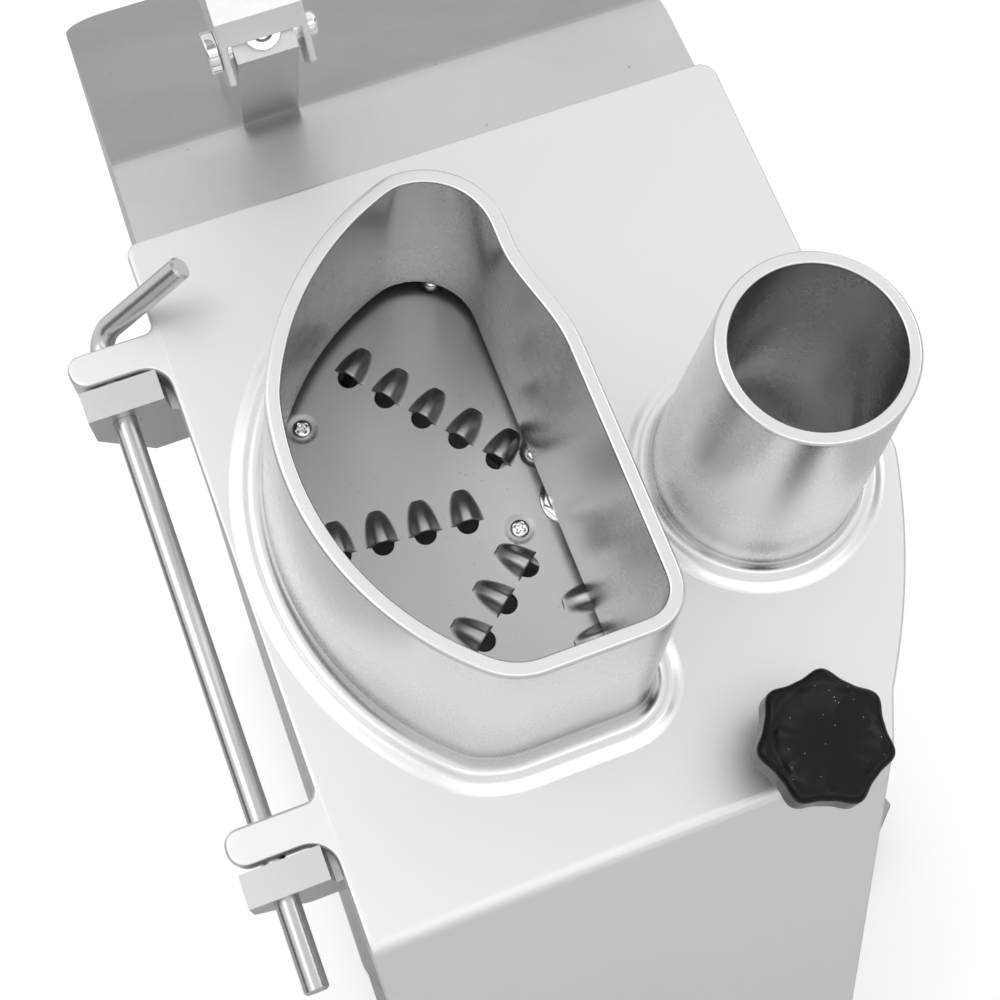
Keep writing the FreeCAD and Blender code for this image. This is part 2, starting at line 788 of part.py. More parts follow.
def casting_shape():
    """The whole casting in the lid's frame."""
    slope = slope_placement()
    middle = FreeCAD.Placement(V(size("base_x"), size("base_y"), 0), FreeCAD.Rotation())
    to_lid = slope.inverse().multiply(middle)

    def in_lid(shape):
        shape.transformShape(to_lid.toMatrix())
        return shape

    low = size("foot_height") + size("plate_thick")
    wall, seat, flange = size("wall"), -seat_depth(), size("seat_flange")
    block = in_lid(leaning_block(0, low, size("deck_z")))
    above = Part.makeBox(800, 1200, 600, V(-400, -500, seat))
    block = block.cut(above)
    crease_v = (size("deck_z") - size("axis_z") - seat * math.cos(rad(size("lid_slope"))))
    crease_v = crease_v / math.sin(rad(size("lid_slope")))
    bend = [e for e in block.Edges if len(e.Vertexes) == 2
            and all(abs(p.Y - crease_v) < 0.1 and abs(p.Z - seat) < 0.1 for p in e.Vertexes)]
    block = block.makeFillet(size("deck_bend"), bend)
    outer_side, inner_side = chute_outlines()
    block = block.fuse(front_block(size("body_inset"), outer_side))
    bay = in_lid(leaning_block(wall, low - 2, size("deck_z") - wall))
    bay = bay.cut(Part.makeBox(800, 1200, 600, V(-400, -500, seat - flange)))
    ring = size("bowl_bore") + wall + 1
    depth = size("bowl_depth") + size("bowl_floor")
    bay = bay.cut(Part.makeCylinder(ring, depth + 20, V(0, 0, -depth)))
    boss = Part.makeCylinder(size("bearing_boss"), size("bearing_depth"),
                             V(0, 0, -depth - size("bearing_depth")))
    bay = bay.cut(boss)
    for u, v in bracket_points():
        bay = bay.cut(Part.makeCylinder(size("post_radius"), 400, V(u, v, bracket_top())))
    block = block.cut(bay)
    block = block.cut(Part.makeCylinder(size("bowl_bore"), size("bowl_depth") + 50,
                                        V(0, 0, -size("bowl_depth"))))
    block = block.cut(front_block(size("body_inset") + size("chute_wall"), inner_side))
    knob = V(size("knob_u"), size("knob_v"), seat - size("stud_grip") - 10)
    boss_length = size("stud_grip") + 10
    rib = Part.makeBox(24, 8, boss_length, knob + V(0, -4, 0))
    boss = Part.makeCylinder(size("boss_radius"), boss_length, knob).fuse(rib)
    block = block.fuse([boss.common(front_block(size("body_inset"), outer_side)),
                        body_lug(size("upper_lug_v") - size("lid_lug") - size("lug_gap")),
                        body_lug(size("lower_lug_v") - size("lid_lug") - size("lug_gap")),
                        lever_post()])
    stud_hole = Part.makeCylinder(size("stud_radius") + size("stud_clearance"), 60, knob + V(0, 0, -1))
    bearing_hole = Part.makeCylinder(size("bearing_outer"), depth + 60, V(0, 0, -depth - 50))
    hinge_hole = Part.makeCylinder(size("pin_radius") + size("pin_clearance"), 400,
                                   V(size("pin_u"), -200, size("pin_n")), V(0, 1, 0))
    pivot_hole = Part.makeCylinder(size("pivot_radius") + size("pin_clearance"), 60,
                                   V(size("lever_u") - 30, size("pivot_v"), size("pivot_n")),
                                   V(1, 0, 0))
    block = block.cut(Part.makeCompound([stud_hole, bearing_hole, hinge_hole, pivot_hole]))
    openings = [in_lid(rear_opening()), in_lid(panel_opening()), in_lid(gland_opening())]
    return block.cut(Part.makeCompound(openings)).removeSplitter()


def bracket_points():
    """Where the motor bracket is bolted: u and v of its four posts."""
    half, centre = size("bracket_half") - 12, size("drive_centres")
    reach = size("bracket_reach") - 10
    return [(x, y) for x in (-half, half) for y in (centre - reach, centre + reach)]


def bracket_top():
    return size("motor_top") + size("bracket_thick")


def rear_opening():
    lean = size("base_length") / 2 - 30
    half = size("cover_width") / 2 - size("cover_edge")
    tall = size("cover_height") - 2 * size("cover_edge")
    return Part.makeBox(2 * half, 60, tall, V(-half, lean, size("cover_z") - tall / 2))


def panel_opening():
    half, tall = size("panel_width") / 2 - 7, size("panel_height") - 14
    return Part.makeBox(60, 2 * half, tall,
                        V(size("base_width") / 2 - 40, size("panel_y") - half,
                          size("panel_z") - tall / 2))


def gland_opening():
    out = V(0, math.cos(rad(size("draft"))), math.sin(rad(size("draft"))))
    face = V(size("gland_x"), size("base_length") / 2 - lean_at(size("gland_z")), size("gland_z"))
    return Part.makeCylinder(size("gland_radius") + 0.1, 60, face - out * 30, out)


def make_casting():
    label(on_slope(feature("Casting", casting_shape())), "main_casting")


# Hinge pin and lock knob

def make_hinge_pin():
    """A straight rod with its upper end bent over the lid as a handle."""
    u, n, radius = size("pin_u"), size("pin_n"), size("pin_bend_radius")
    rise = rad(size("pin_leg_rise"))
    side = V(math.cos(rise), 0, math.sin(rise))
    tip, bend = V(u, size("pin_tip_v"), n), V(u, size("pin_bend_v"), n)
    corner = bend + V(0, radius, 0)
    turn = bend + side * radius
    middle = turn + (V(0, 1, 0) - side) * (radius / math.sqrt(2))
    leg = corner + side * radius
    end = leg + side * size("pin_leg")
    path = Part.Wire([line(tip, bend), arc(bend, middle, leg), line(leg, end)])
    section = Part.Wire(Part.makeCircle(size("pin_radius"), tip, V(0, 1, 0)))
    rod = path.makePipeShell([section], True, False)
    tips = [e for e in rod.Edges if e.Length < 26 and len(e.Vertexes) == 1
            and (abs(e.Vertexes[0].Y - tip.y) < 0.01 or e.CenterOfMass.distanceToPoint(end) < 0.01)]
    rod = rod.makeChamfer(1, tips) if tips else rod
    label(on_slope(feature("HingePin", rod)), "hinge_pin")


def make_knob():
    """A black star knob with seven shallow scallops and a dished top."""
    top, height, radius = size("knob_top"), size("knob_height"), size("knob_radius")
    centre = V(size("knob_u"), size("knob_v"), top - height)
    knob = Part.makeCylinder(radius, height, centre)
    scallops = []
    for i in range(7):
        away = polar(radius + size("knob_scallop") - 3.2, i * 360 / 7 + 26)
        scallops.append(Part.makeCylinder(size("knob_scallop"), height + 2, centre + away + V(0, 0, -1)))
    knob = knob.cut(Part.makeCompound(scallops))
    dish = Part.makeSphere(60, centre + V(0, 0, height + 57))
    hub = Part.makeCylinder(9, top - height - 1, V(centre.x, centre.y, 1))
    knob = knob.cut(dish).fuse(hub)
    stud_seat = Part.makeCylinder(size("stud_radius"), top - 8, V(centre.x, centre.y, 0))
    label(on_slope(feature("Knob", knob.cut(stud_seat))), "lock_knob")
    bottom = -seat_depth() - size("stud_grip")
    stud = Part.makeCylinder(size("stud_radius"), top - 8 - bottom, V(centre.x, centre.y, bottom))
    stud = stud.makeChamfer(0.8, [e for e in stud.Edges if abs(e.CenterOfMass.z - bottom) < 0.01
                                  and e.Closed])
    label(on_slope(feature("KnobStud", stud)), "knob_stud")


# The cutting disc

def tooth_places():
    """Polar places of the teeth: five in every other row, four staggered ones between."""
    places = []
    for row in range(int(size("rows"))):
        angle = size("row_angle") + row * 360 / size("rows")
        shift = 0.5 * size("tooth_pitch") * (row % 2)
        for tooth in range(5 - row % 2):
            places.append((size("first_tooth") + shift + tooth * size("tooth_pitch"), angle))
    return places


def hood(radius, angle, shrink, low):
    """A faceted arch tapering away behind a tooth hole, shrunk for its inside, down to -low."""
    wide = size("tooth_hole") + size("hood_wall")
    sunk = wide - size("hood_rise")

    def arch(wide_here, y):
        points = [polar(wide_here, 36 * i) for i in range(6)]
        points = [V(p.x, y, p.y - sunk) for p in points]
        points = [V(points[0].x, y, -low)] + points + [V(points[-1].x, y, -low)]
        return Part.makePolygon(points + points[:1])

    form = Part.makeLoft([arch(wide - shrink, 0), arch(size("hood_wall") + 0.3 - shrink,
                                                       -size("hood_length"))], True, True)
    form.translate(V(radius, 0, size("disc_n")))
    form.rotate(V(0, 0, 0), V(0, 0, 1), angle)
    return form


def screw_places(radius, count, first):
    return [polar(radius, first + i * 360 / count) for i in range(count)]


def disc_screw_centres():
    first = size("row_angle") + size("disc_screw_lag")
    return (screw_places(size("disc_screw_ring"), 8, first)
            + screw_places(size("inner_screw_ring"), 4, first + 48.7))


def make_disc():
    """The stainless sheet with its rows of raised teeth, and what holds it."""
    bottom = size("disc_n") - size("sheet_thick")
    sheet_metal = Part.makeCylinder(size("disc_radius"), size("sheet_thick"), V(0, 0, bottom))
    places = tooth_places()
    sunk = size("tooth_hole") + size("hood_wall") - size("hood_rise")
    outer = [hood(r, a, 0, sunk - 0.1) for r, a in places]
    inner = [hood(r, a, size("hood_wall"), sunk + 2) for r, a in places]
    holes = [Part.makeCylinder(size("tooth_hole"), 12, polar(r, a, bottom - 1)) for r, a in places]
    solid = sheet_metal.fuse(outer).cut(Part.makeCompound(inner)).cut(Part.makeCompound(holes))
    screw_holes = [Part.makeCylinder(size("screw_radius"), 9, c + V(0, 0, bottom - 1))
                   for c in disc_screw_centres()]
    screw_holes.append(Part.makeCylinder(size("hub_eye"), 9, V(0, 0, bottom - 1)))
    solid = solid.cut(Part.makeCompound(screw_holes))
    label(on_slope(feature("ShreddingPlate", solid)), "shredding_plate")


def make_carrier():
    """The cast spider under the sheet: a rim ring, a hub and four arms."""
    low = "disc_n - sheet_thick - carrier_thick"
    rim = take("CarrierRim", cylinder("CarrierOut", "disc_radius - 1", "carrier_thick", "0", "0", low),
               cylinder("CarrierIn", "disc_radius - 1 - rim_ring", "carrier_thick + 2", "0", "0",
                        low + " - 1"))
    arms = []
    for i in range(4):
        arm = box("CarrierArm%d" % i, "disc_radius - 4", "spoke_width", "carrier_thick - 2")
        first = "row_angle + disc_screw_lag + 48.7 + %d" % (90 * i)
        move_to(arm, "sin(%s) * spoke_width / 2" % first, "-cos(%s) * spoke_width / 2" % first,
                low + " + 2", (0, 0, 1), first)
        arms.append(arm)
    hub = cylinder("CarrierHub", "inner_screw_ring + 6", "carrier_thick", "0", "0", low)
    sleeve = cylinder("CarrierSleeve", "hub_radius", "disc_n - sheet_thick - ejector_n - 0.3",
                      "0", "0", "ejector_n + 0.3")
    solid = join("CarrierSolid", rim, hub, sleeve, *arms)
    bore = cylinder("CarrierBore", "shaft_radius + 0.02", "80", "0", "0", "ejector_n - 5")
    holes = [cylinder("CarrierScrew%d" % i, "screw_radius", "carrier_thick + 1") for i in range(12)]
    for i, hole in enumerate(holes):
        ring, first, step = ("disc_screw_ring", "row_angle + disc_screw_lag", 45)
        if i >= 8:
            ring, first, step = ("inner_screw_ring", "row_angle + disc_screw_lag + 48.7", 90)
        turn = "%s + %d" % (first, step * i)
        move_to(hole, "%s * cos(%s)" % (ring, turn), "%s * sin(%s)" % (ring, turn), low + " + 2")
    label(on_slope(take("Carrier", solid, bore, *holes)), "disc_carrier")


def make_disc_screws():
    """Twelve small cross-head screws that hold the sheet to its carrier."""
    screws = []
    top = size("disc_n")
    deep = size("sheet_thick") + size("carrier_thick") - 2.5
    for centre in disc_screw_centres():
        head = Part.makeCylinder(size("screw_head"), 1.8, centre + V(0, 0, top))
        head = head.makeFillet(1.2, [e for e in head.Edges if abs(e.CenterOfMass.z - top - 1.8) < 0.01
                                     and e.Closed])
        slot = [Part.makeBox(*bar, 1.2, centre + V(-bar[0] / 2, -bar[1] / 2, top + 1))
                for bar in ((3.6, 0.9), (0.9, 3.6))]
        shank = Part.makeCylinder(size("screw_radius"), deep, centre + V(0, 0, top - deep))
        screws.append(head.cut(Part.makeCompound(slot)).fuse(shank))
    label(on_slope(group("DiscScrews", screws)), "disc_screws")


def make_rotor():
    """Shaft, clamping nut, ejector and the large pulley, all on the disc's axis."""
    nut_low = "disc_n - sheet_thick - carrier_thick"
    top = "disc_n + shaft_stub"
    shaft = turned("Shaft", [("0", "shaft_end_n"), ("shaft_radius - 1", "shaft_end_n"),
                             ("shaft_radius", "shaft_end_n + 1"),
                             ("shaft_radius", "disc_n - sheet_thick - 1"),
                             ("thread_radius", "disc_n - sheet_thick - 1"),
                             ("thread_radius", top + " - 1"), ("thread_radius - 1", top), ("0", top)])
    label(on_slope(shaft), "drive_shaft")
    nut = doc.addObject("Part::Prism", "NutHex")
    nut.Polygon = 6
    tie(nut, Circumradius="nut_flats / 2 / cos(30)", Height="nut_height")
    move_to(nut, "0", "0", "disc_n - sheet_thick + 0.5")
    washer = cylinder("NutWasher", "hub_eye - 0.3", "1.2", "0", "0", "disc_n - sheet_thick")
    bore = cylinder("NutBore", "thread_radius", "40", "0", "0", nut_low)
    label(on_slope(take("DiscNut", join("NutSolid", nut, washer), bore)), "disc_nut")
    plate = cylinder("EjectorPlate", "ejector_radius", "ejector_thick", "0", "0",
                     "ejector_n - ejector_thick")
    hub = cylinder("EjectorHub", "hub_radius + 4", "7", "0", "0", "ejector_n - ejector_thick - 3")
    paddles = []
    for i in range(3):
        paddle = box("Paddle%d" % i, "ejector_radius - 24", "4", "paddle_height")
        move_to(paddle, "22 * cos(%d)" % (120 * i), "22 * sin(%d)" % (120 * i), "ejector_n",
                (0, 0, 1), "%d" % (120 * i))
        paddles.append(paddle)
    bore = cylinder("EjectorBore", "shaft_radius + 0.02", "60", "0", "0", "ejector_n - 20")
    label(on_slope(take("Ejector", join("EjectorSolid", plate, hub, *paddles), bore)), "ejector_plate")
    bottom = "pulley_top - pulley_width"
    rim = "big_pulley - 8"
    profile = [("shaft_radius + 0.02", "pulley_top - pulley_width"), ("18", bottom), ("18", bottom + " + 6"),
               (rim, bottom + " + 6"), (rim, bottom), ("big_pulley", bottom),
               ("big_pulley", bottom + " + 2"), ("big_pulley - 3", bottom + " + 2"),
               ("big_pulley - 3", "pulley_top - 2"), ("big_pulley", "pulley_top - 2"),
               ("big_pulley", "pulley_top"), (rim, "pulley_top"),
               (rim, bottom + " + 6 + pulley_web"), ("18", bottom + " + 6 + pulley_web"),
               ("18", "pulley_top"), ("shaft_radius + 0.02", "pulley_top")]
    label(on_slope(turned("BigPulley", profile)), "large_pulley")


def make_bearings():
    """Two ball bearings with their spacer, and the seal under the ejector."""
    floor = "-bowl_depth - bowl_floor"
    inner = "shaft_radius + running_gap"
    places = {"upper_bearing": floor, "lower_bearing": floor + " - bearing_depth + bearing_width"}
    for name, top in places.items():
        race = turned(name.replace("_", ""), [
            (inner, top + " - bearing_width"), ("bearing_outer - 0.01", top + " - bearing_width"),
            ("bearing_outer - 0.01", top), (inner, top)])
        label(on_slope(race), name)
    spacer = turned("Spacer", [
        ("bearing_outer - 2.5", floor + " - bearing_depth + bearing_width"),
        ("bearing_outer - 0.01", floor + " - bearing_depth + bearing_width"),
        ("bearing_outer - 0.01", floor + " - bearing_width"),
        ("bearing_outer - 2.5", floor + " - bearing_width")])
    label(on_slope(spacer), "bearing_spacer")
    seal = turned("Seal", [
        (inner, floor + " + 0.5"), ("bearing_outer - 0.01", floor + " + 0.5"),
        ("bearing_outer - 0.01", floor + " + 0.5 + seal_width"),
        (inner, floor + " + 0.5 + seal_width")])
    label(on_slope(seal), "shaft_seal")


# Motor and belt

def make_motor():
    front = "motor_top"
    casing = turned("MotorCase", [
        ("0", front + " - motor_length + 0.2"), ("motor_radius", front + " - motor_length + 0.2"),
        ("motor_radius", front + " - bell_length"), ("0", front + " - bell_length")])
    label(on_slope(casing, "0", "drive_centres", "0"), "motor_stator")
    bell = turned("MotorFront", [
        ("motor_shaft + running_gap", front + " - bell_length + 0.2"),
        ("motor_radius + 2", front + " - bell_length + 0.2"), ("motor_radius + 2", front + " - 4"),
        ("motor_radius - 4", front), ("motor_shaft + running_gap", front)])
    label(on_slope(bell, "0", "drive_centres", "0"), "motor_front_bell")
    back = front + " - motor_length"
    rear = turned("MotorRear", [
        ("0", back + " - bell_length"), ("motor_radius - 6", back + " - bell_length"),
        ("motor_radius + 2", back + " - 6"), ("motor_radius + 2", back), ("0", back)])
    label(on_slope(rear, "0", "drive_centres", "0"), "motor_rear_bell")
    shaft = turned("MotorShaft", [
        ("0", front + " - bell_length + 0.3"), ("motor_shaft", front + " - bell_length + 0.3"),
        ("motor_shaft", "pulley_top - 1"), ("motor_shaft - 1", "pulley_top"), ("0", "pulley_top")])
    label(on_slope(shaft, "0", "drive_centres", "0"), "motor_shaft")
    low = "pulley_top - pulley_width"
    small = turned("SmallPulley", [
        ("motor_shaft + 0.01", low), ("small_pulley + 3", low), ("small_pulley + 3", low + " + 1.8"),
        ("small_pulley", low + " + 1.8"), ("small_pulley", "pulley_top - 1.8"),
        ("small_pulley + 3", "pulley_top - 1.8"), ("small_pulley + 3", "pulley_top - 0.5"),
        ("motor_shaft + 0.01", "pulley_top - 0.5")])
    label(on_slope(small, "0", "drive_centres", "0"), "motor_pulley")


def make_bracket():
    """The plate that hangs the motor under the casting's four posts."""
    half, reach = "bracket_half", "bracket_reach"
    plate = box("BracketPlate", "2 * " + half, "2 * " + reach, "bracket_thick",
                "-" + half, "drive_centres - " + reach, "motor_top")
    eye = cylinder("BracketEye", "motor_shaft + 14", "40", "0", "drive_centres", "motor_top - 10")
    holes = []
    for i, (sx, sy) in enumerate(((-1, -1), (-1, 1), (1, -1), (1, 1))):
        holes.append(cylinder("BracketHole%d" % i, "bolt_radius + 0.3", "30",
                              "%d * (bracket_half - 12)" % sx,
                              "drive_centres + %d * (bracket_reach - 10)" % sy, "motor_top - 10"))
    label(on_slope(take("Bracket", plate, eye, *holes)), "motor_bracket")
    bolts = []
    for u, v in bracket_points():
        head = Part.makeCylinder(6.5, 5, V(u, v, size("motor_top") - 5))
        shank = Part.makeCylinder(size("bolt_radius"), size("bracket_thick"), V(u, v, size("motor_top")))
        bolts.append(head.fuse(shank))
    label(on_slope(group("BracketBolts", bolts)), "bracket_bolts")


def make_belt():
    """The toothed belt: two half turns and two straight runs round the pulleys."""
    big = size("big_pulley") - 3 + 0.05
    small, gap = size("small_pulley") + 0.05, size("drive_centres")
    lean = math.degrees(math.acos((big - small) / gap))
    low = size("pulley_top") - size("pulley_width") / 2 - size("belt_width") / 2

    def loop(grow):
        def at(radius, angle, v):
            return V((radius + grow) * math.sin(rad(angle)), v + (radius + grow) * math.cos(rad(angle)), low)
        a, b = at(big, lean, 0), at(small, lean, gap)
        c, d = at(small, -lean, gap), at(big, -lean, 0)
        return Part.Wire([line(a, b), arc(b, at(small, 0, gap), c), line(c, d),
                          arc(d, at(big, 180, 0), a)])

    band = Part.Face(loop(size("belt_thick"))).cut(Part.Face(loop(0)))
    belt = band.extrude(V(0, 0, size("belt_width"))).Solids[0]
    label(on_slope(feature("Belt", belt)), "drive_belt")


# Lever and pusher, drawn in the lever's frame

def arm_profile(back, face, ear, shift):
    """Side outline of the cranked channel between two heights over the pivot."""
    first, second, bend = size("arm_first"), size("arm_second"), rad(size("arm_crank"))
    lean = math.tan(bend / 2)
    cos, sin = math.cos(bend), math.sin(bend)

    def after(z):
        return V(0, first - z * lean, z), V(0, first + second * cos - z * sin, second * sin + z * cos)

    low_bend, low_end = after(back)
    high_bend, high_end = after(face)
    ears = [V(0, shift, face), V(0, -ear, 0.5 * face), V(0, -ear, back)] if shift else \
        [V(0, -ear - 2, face), V(0, -ear - 2, back)]
    corners = [low_bend, low_end, high_end, high_bend] + ears
    return Part.Face(Part.makePolygon(corners + corners[:1]))


def make_arm():
    half, sheet_thick = size("arm_width") / 2, size("arm_sheet")
    back, face = -size("arm_back"), size("arm_face")
    outer = arm_profile(back, face, size("arm_ear"), size("arm_web_start"))
    outer.translate(V(-half, 0, 0))
    outer = outer.extrude(V(2 * half, 0, 0))
    inner = arm_profile(back - half, face - sheet_thick, size("arm_ear"), 0)
    inner.translate(V(-half + sheet_thick, 0, 0))
    inner = inner.extrude(V(2 * (half - sheet_thick), 0, 0))
    arm = outer.cut(inner)
    pin = Part.makeCylinder(size("pivot_radius") + size("pin_fit"), 4 * half, V(-2 * half, 0, 0), V(1, 0, 0))
    arm = arm.cut(pin)
    label(on_lever(feature("Arm", arm)), "lever_arm")


def pusher_shape():
    """A block that swings through the hopper on the lever, with its stem, on the slope."""
    pivot = V(size("lever_u"), size("pivot_v"), size("pivot_n"))
    rim = Part.Face(hopper_outline(size("hopper_rim"), -size("pusher_gap")))
    span = 2 * size("base_width")
    front = size("pusher_front_gap") - size("rim_front")
    behind = Part.makePlane(span, span, V(-span / 2, front, size("hopper_rim")))
    swept = rim.common(behind).Faces[0].revolve(pivot, V(1, 0, 0), 60)
    bottom, thick = size("pusher_bottom"), size("pusher_thick")
    block = swept.common(Part.makeBox(span, span, thick, V(-span / 2, -span / 2, bottom)))
    foot = bottom + thick - size("stem_sink")
    top = down_arm_n() - size("arm_face")
    stem = Part.makeBox(size("stem_width"), size("stem_length"), top - foot,
                        V(size("lever_u") - size("stem_width") / 2, size("stem_v"), foot))
    return block.fuse(stem).removeSplitter()


def down_arm_n():
    """Height over the lid of the arm's second run when the lever is down."""
    return size("pivot_n") + size("arm_first") * math.sin(rad(size("arm_crank")))


def into_lever(shape):
    """From the slope frame at the lever's lowest place into the lever's own frame."""
    pivot = V(-size("lever_u"), -size("pivot_v"), -size("pivot_n"))
    raised = FreeCAD.Rotation(V(1, 0, 0), -size("lever_lift") - size("lever_swing"))
    place = FreeCAD.Placement(raised.multVec(pivot), raised)
    return shape.transformed(place.toMatrix(), copy=True)


def stem_screw_centres():
    middle = size("stem_v") + size("stem_length") / 2
    half, seat = size("stem_screw_half"), down_arm_n() - size("arm_face") + 0.01
    return [V(size("lever_u"), middle + side * half, seat) for side in (-1, 1)]


def make_pusher():
    shape = into_lever(pusher_shape())
    label(on_lever(feature("Pusher", shape)), "pusher")
    heads = []
    for centre in stem_screw_centres():
        head = Part.makeCylinder(size("stem_screw_radius"), size("stem_screw_height"),
                                 centre + V(0, 0, size("arm_sheet")))
        heads.append(into_lever(head))
    label(on_lever(group("StemScrews", heads)), "stem_screws")


def make_lever_trim():
    """Pivot pin, stop screw and the black grip."""
    pin = turned("PivotPin", [
        ("0", "-arm_width / 2 - 4"), ("pivot_radius + 3", "-arm_width / 2 - 4"),
        ("pivot_radius + 3", "-arm_width / 2 - 0.1"), ("pivot_radius", "-arm_width / 2 - 0.1"),
        ("pivot_radius", "arm_width / 2 + 3"), ("pivot_radius - 1", "arm_width / 2 + 4"),
        ("0", "arm_width / 2 + 4")])
    on_slope(pin, "lever_u", "pivot_v", "pivot_n")
    pin.Placement = FreeCAD.Placement(V(0, 0, 0), FreeCAD.Rotation(V(0, 1, 0), 90))
    pin.setExpression("Placement.Rotation.Angle", None)
    label(pin, "pivot_pin")
    along, across = lever_axes()
    foot = V(size("lever_u"), size("pivot_v"), size("pivot_n")) + across * size("stop_screw_shift")
    foot += along * (size("post_head") + 0.02)
    tall = size("stop_screw_height")
    head = Part.makeCylinder(size("stop_screw_radius"), tall, foot, along)
    socket = Part.makeCylinder(size("stop_socket"), tall, foot + along * (tall / 3), along)
    screw = head.cut(socket)
    label(on_slope(feature("StopScrew", screw)), "stop_screw")
    grip = turned("Grip", [
        ("0", "-26"), ("arm_back - 0.6", "-26"), ("arm_back - 0.6", "0.3"), ("grip_radius - 3", "0.3"),
        ("grip_radius - 1", "6"), ("grip_radius - 2.5", "grip_length * 0.45"),
        ("grip_radius", "grip_length * 0.85"), ("grip_radius - 3", "grip_length - 2"),
        ("grip_radius - 7", "grip_length"), ("0", "grip_length")])
    turn = "lid_slope + lever_lift + arm_crank - 90"
    along_first = "(arm_first * cos(lever_lift) + arm_second * cos(lever_lift + arm_crank))"
    rise_first = "(arm_first * sin(lever_lift) + arm_second * sin(lever_lift + arm_crank))"
    on_slope(grip, "lever_u", "pivot_v + " + along_first, "pivot_n + " + rise_first)
    grip.setExpression("Placement.Rotation.Angle", formula(turn))
    label(grip, "lever_grip")


# Base, covers and controls

def make_base():
    plate = padded("BasePlate", lambda body: polygon(body, "XY_Plane", "BasePlan", [
        ("-base_width / 2 + plate_front", "-base_length / 2 + plate_inset"),
        ("base_width / 2 - plate_front", "-base_length / 2 + plate_inset"),
        ("base_width / 2 - plate_inset", "-base_length / 2 + plate_front"),
        ("base_width / 2 - plate_inset", "base_length / 2 - plate_rear"),
        ("base_width / 2 - plate_rear", "base_length / 2 - plate_inset"),
        ("-base_width / 2 + plate_rear", "base_length / 2 - plate_inset"),
        ("-base_width / 2 + plate_inset", "base_length / 2 - plate_rear"),
        ("-base_width / 2 + plate_inset", "-base_length / 2 + plate_front")]), "plate_thick")
    for i in range(6):
        middle = "slot_y + slot_pitch * %g" % (i - 2.5)
        pocket(plate, "BaseSlot%d" % i, polygon(plate, "XY_Plane", "SlotPlan%d" % i, rectangle(
            "-slot_length / 2", "slot_length / 2", middle + " - slot_width / 2",
            middle + " + slot_width / 2")))
    label(upright(plate, "0", "0", "foot_height"), "base_plate")
    profile = [("0", "foot_pit_depth"), ("foot_pit", "foot_pit_depth"), ("foot_pit", "0"),
               ("foot_radius - foot_pit_depth", "0"), ("foot_radius", "foot_flare"),
               ("foot_radius - foot_flare", "foot_height"), ("0", "foot_height")]
    corners = {"front_left_foot": (-1, -1), "front_right_foot": (1, -1),
               "rear_left_foot": (-1, 1), "rear_right_foot": (1, 1)}
    for name, (sx, sy) in corners.items():
        x = "%d * (base_width / 2 - foot_inset_x)" % sx
        y = "%d * (base_length / 2 - foot_inset_y)" % sy
        label(upright(turned(name.replace("_", ""), profile), x, y, "0"), name)


def cover_screws():
    edge = size("cover_screw_edge")
    half_x, half_z = size("cover_width") / 2 - edge, size("cover_height") / 2 - edge
    return [(x, z) for x in (-half_x, half_x) for z in (-half_z, 0, half_z)]


def make_rear_cover():
    """The stainless cover over the rear opening, with cooling slots, and its six screws."""
    plate = padded("RearCover", lambda body: polygon(body, "XY_Plane", "CoverPlan", rectangle(
        "-cover_width / 2", "cover_width / 2", "-cover_height / 2", "cover_height / 2")), "cover_sheet")
    for i in range(8):
        middle = "slot_pitch * %g" % (i - 3.5)
        pocket(plate, "CoverSlot%d" % i, polygon(plate, "XY_Plane", "CoverSlotPlan%d" % i, rectangle(
            "-slot_length * 0.7", "slot_length * 0.7", middle + " - slot_width / 2",
            middle + " + slot_width / 2")))
    label(on_rear(plate, "0", "cover_z"), "rear_cover")
    foot, tall = size("cover_sheet"), size("cover_screw_height")
    heads = [Part.makeCylinder(size("cover_screw_radius"), tall, V(x, z, foot)) for x, z in cover_screws()]
    heads = [h.makeFillet(0.6 * tall, [e for e in h.Edges if e.Closed
                                       and abs(e.CenterOfMass.z - foot - tall) < tall / 4])
             for h in heads]
    label(on_rear(group("CoverScrews", heads), "0", "cover_z"), "rear_cover_screws")
    body = turned("Gland", [
        ("gland_bore", "-gland_tail"), ("gland_radius", "-gland_tail"), ("gland_radius", "0"),
        ("gland_flange", "0"), ("gland_flange", "gland_collar"), ("gland_radius + 1", "gland_collar + 1"),
        ("gland_radius - 1", "gland_length - 1"), ("gland_bore", "gland_length")])
    label(on_rear(body, "gland_x", "gland_z"), "cable_gland")


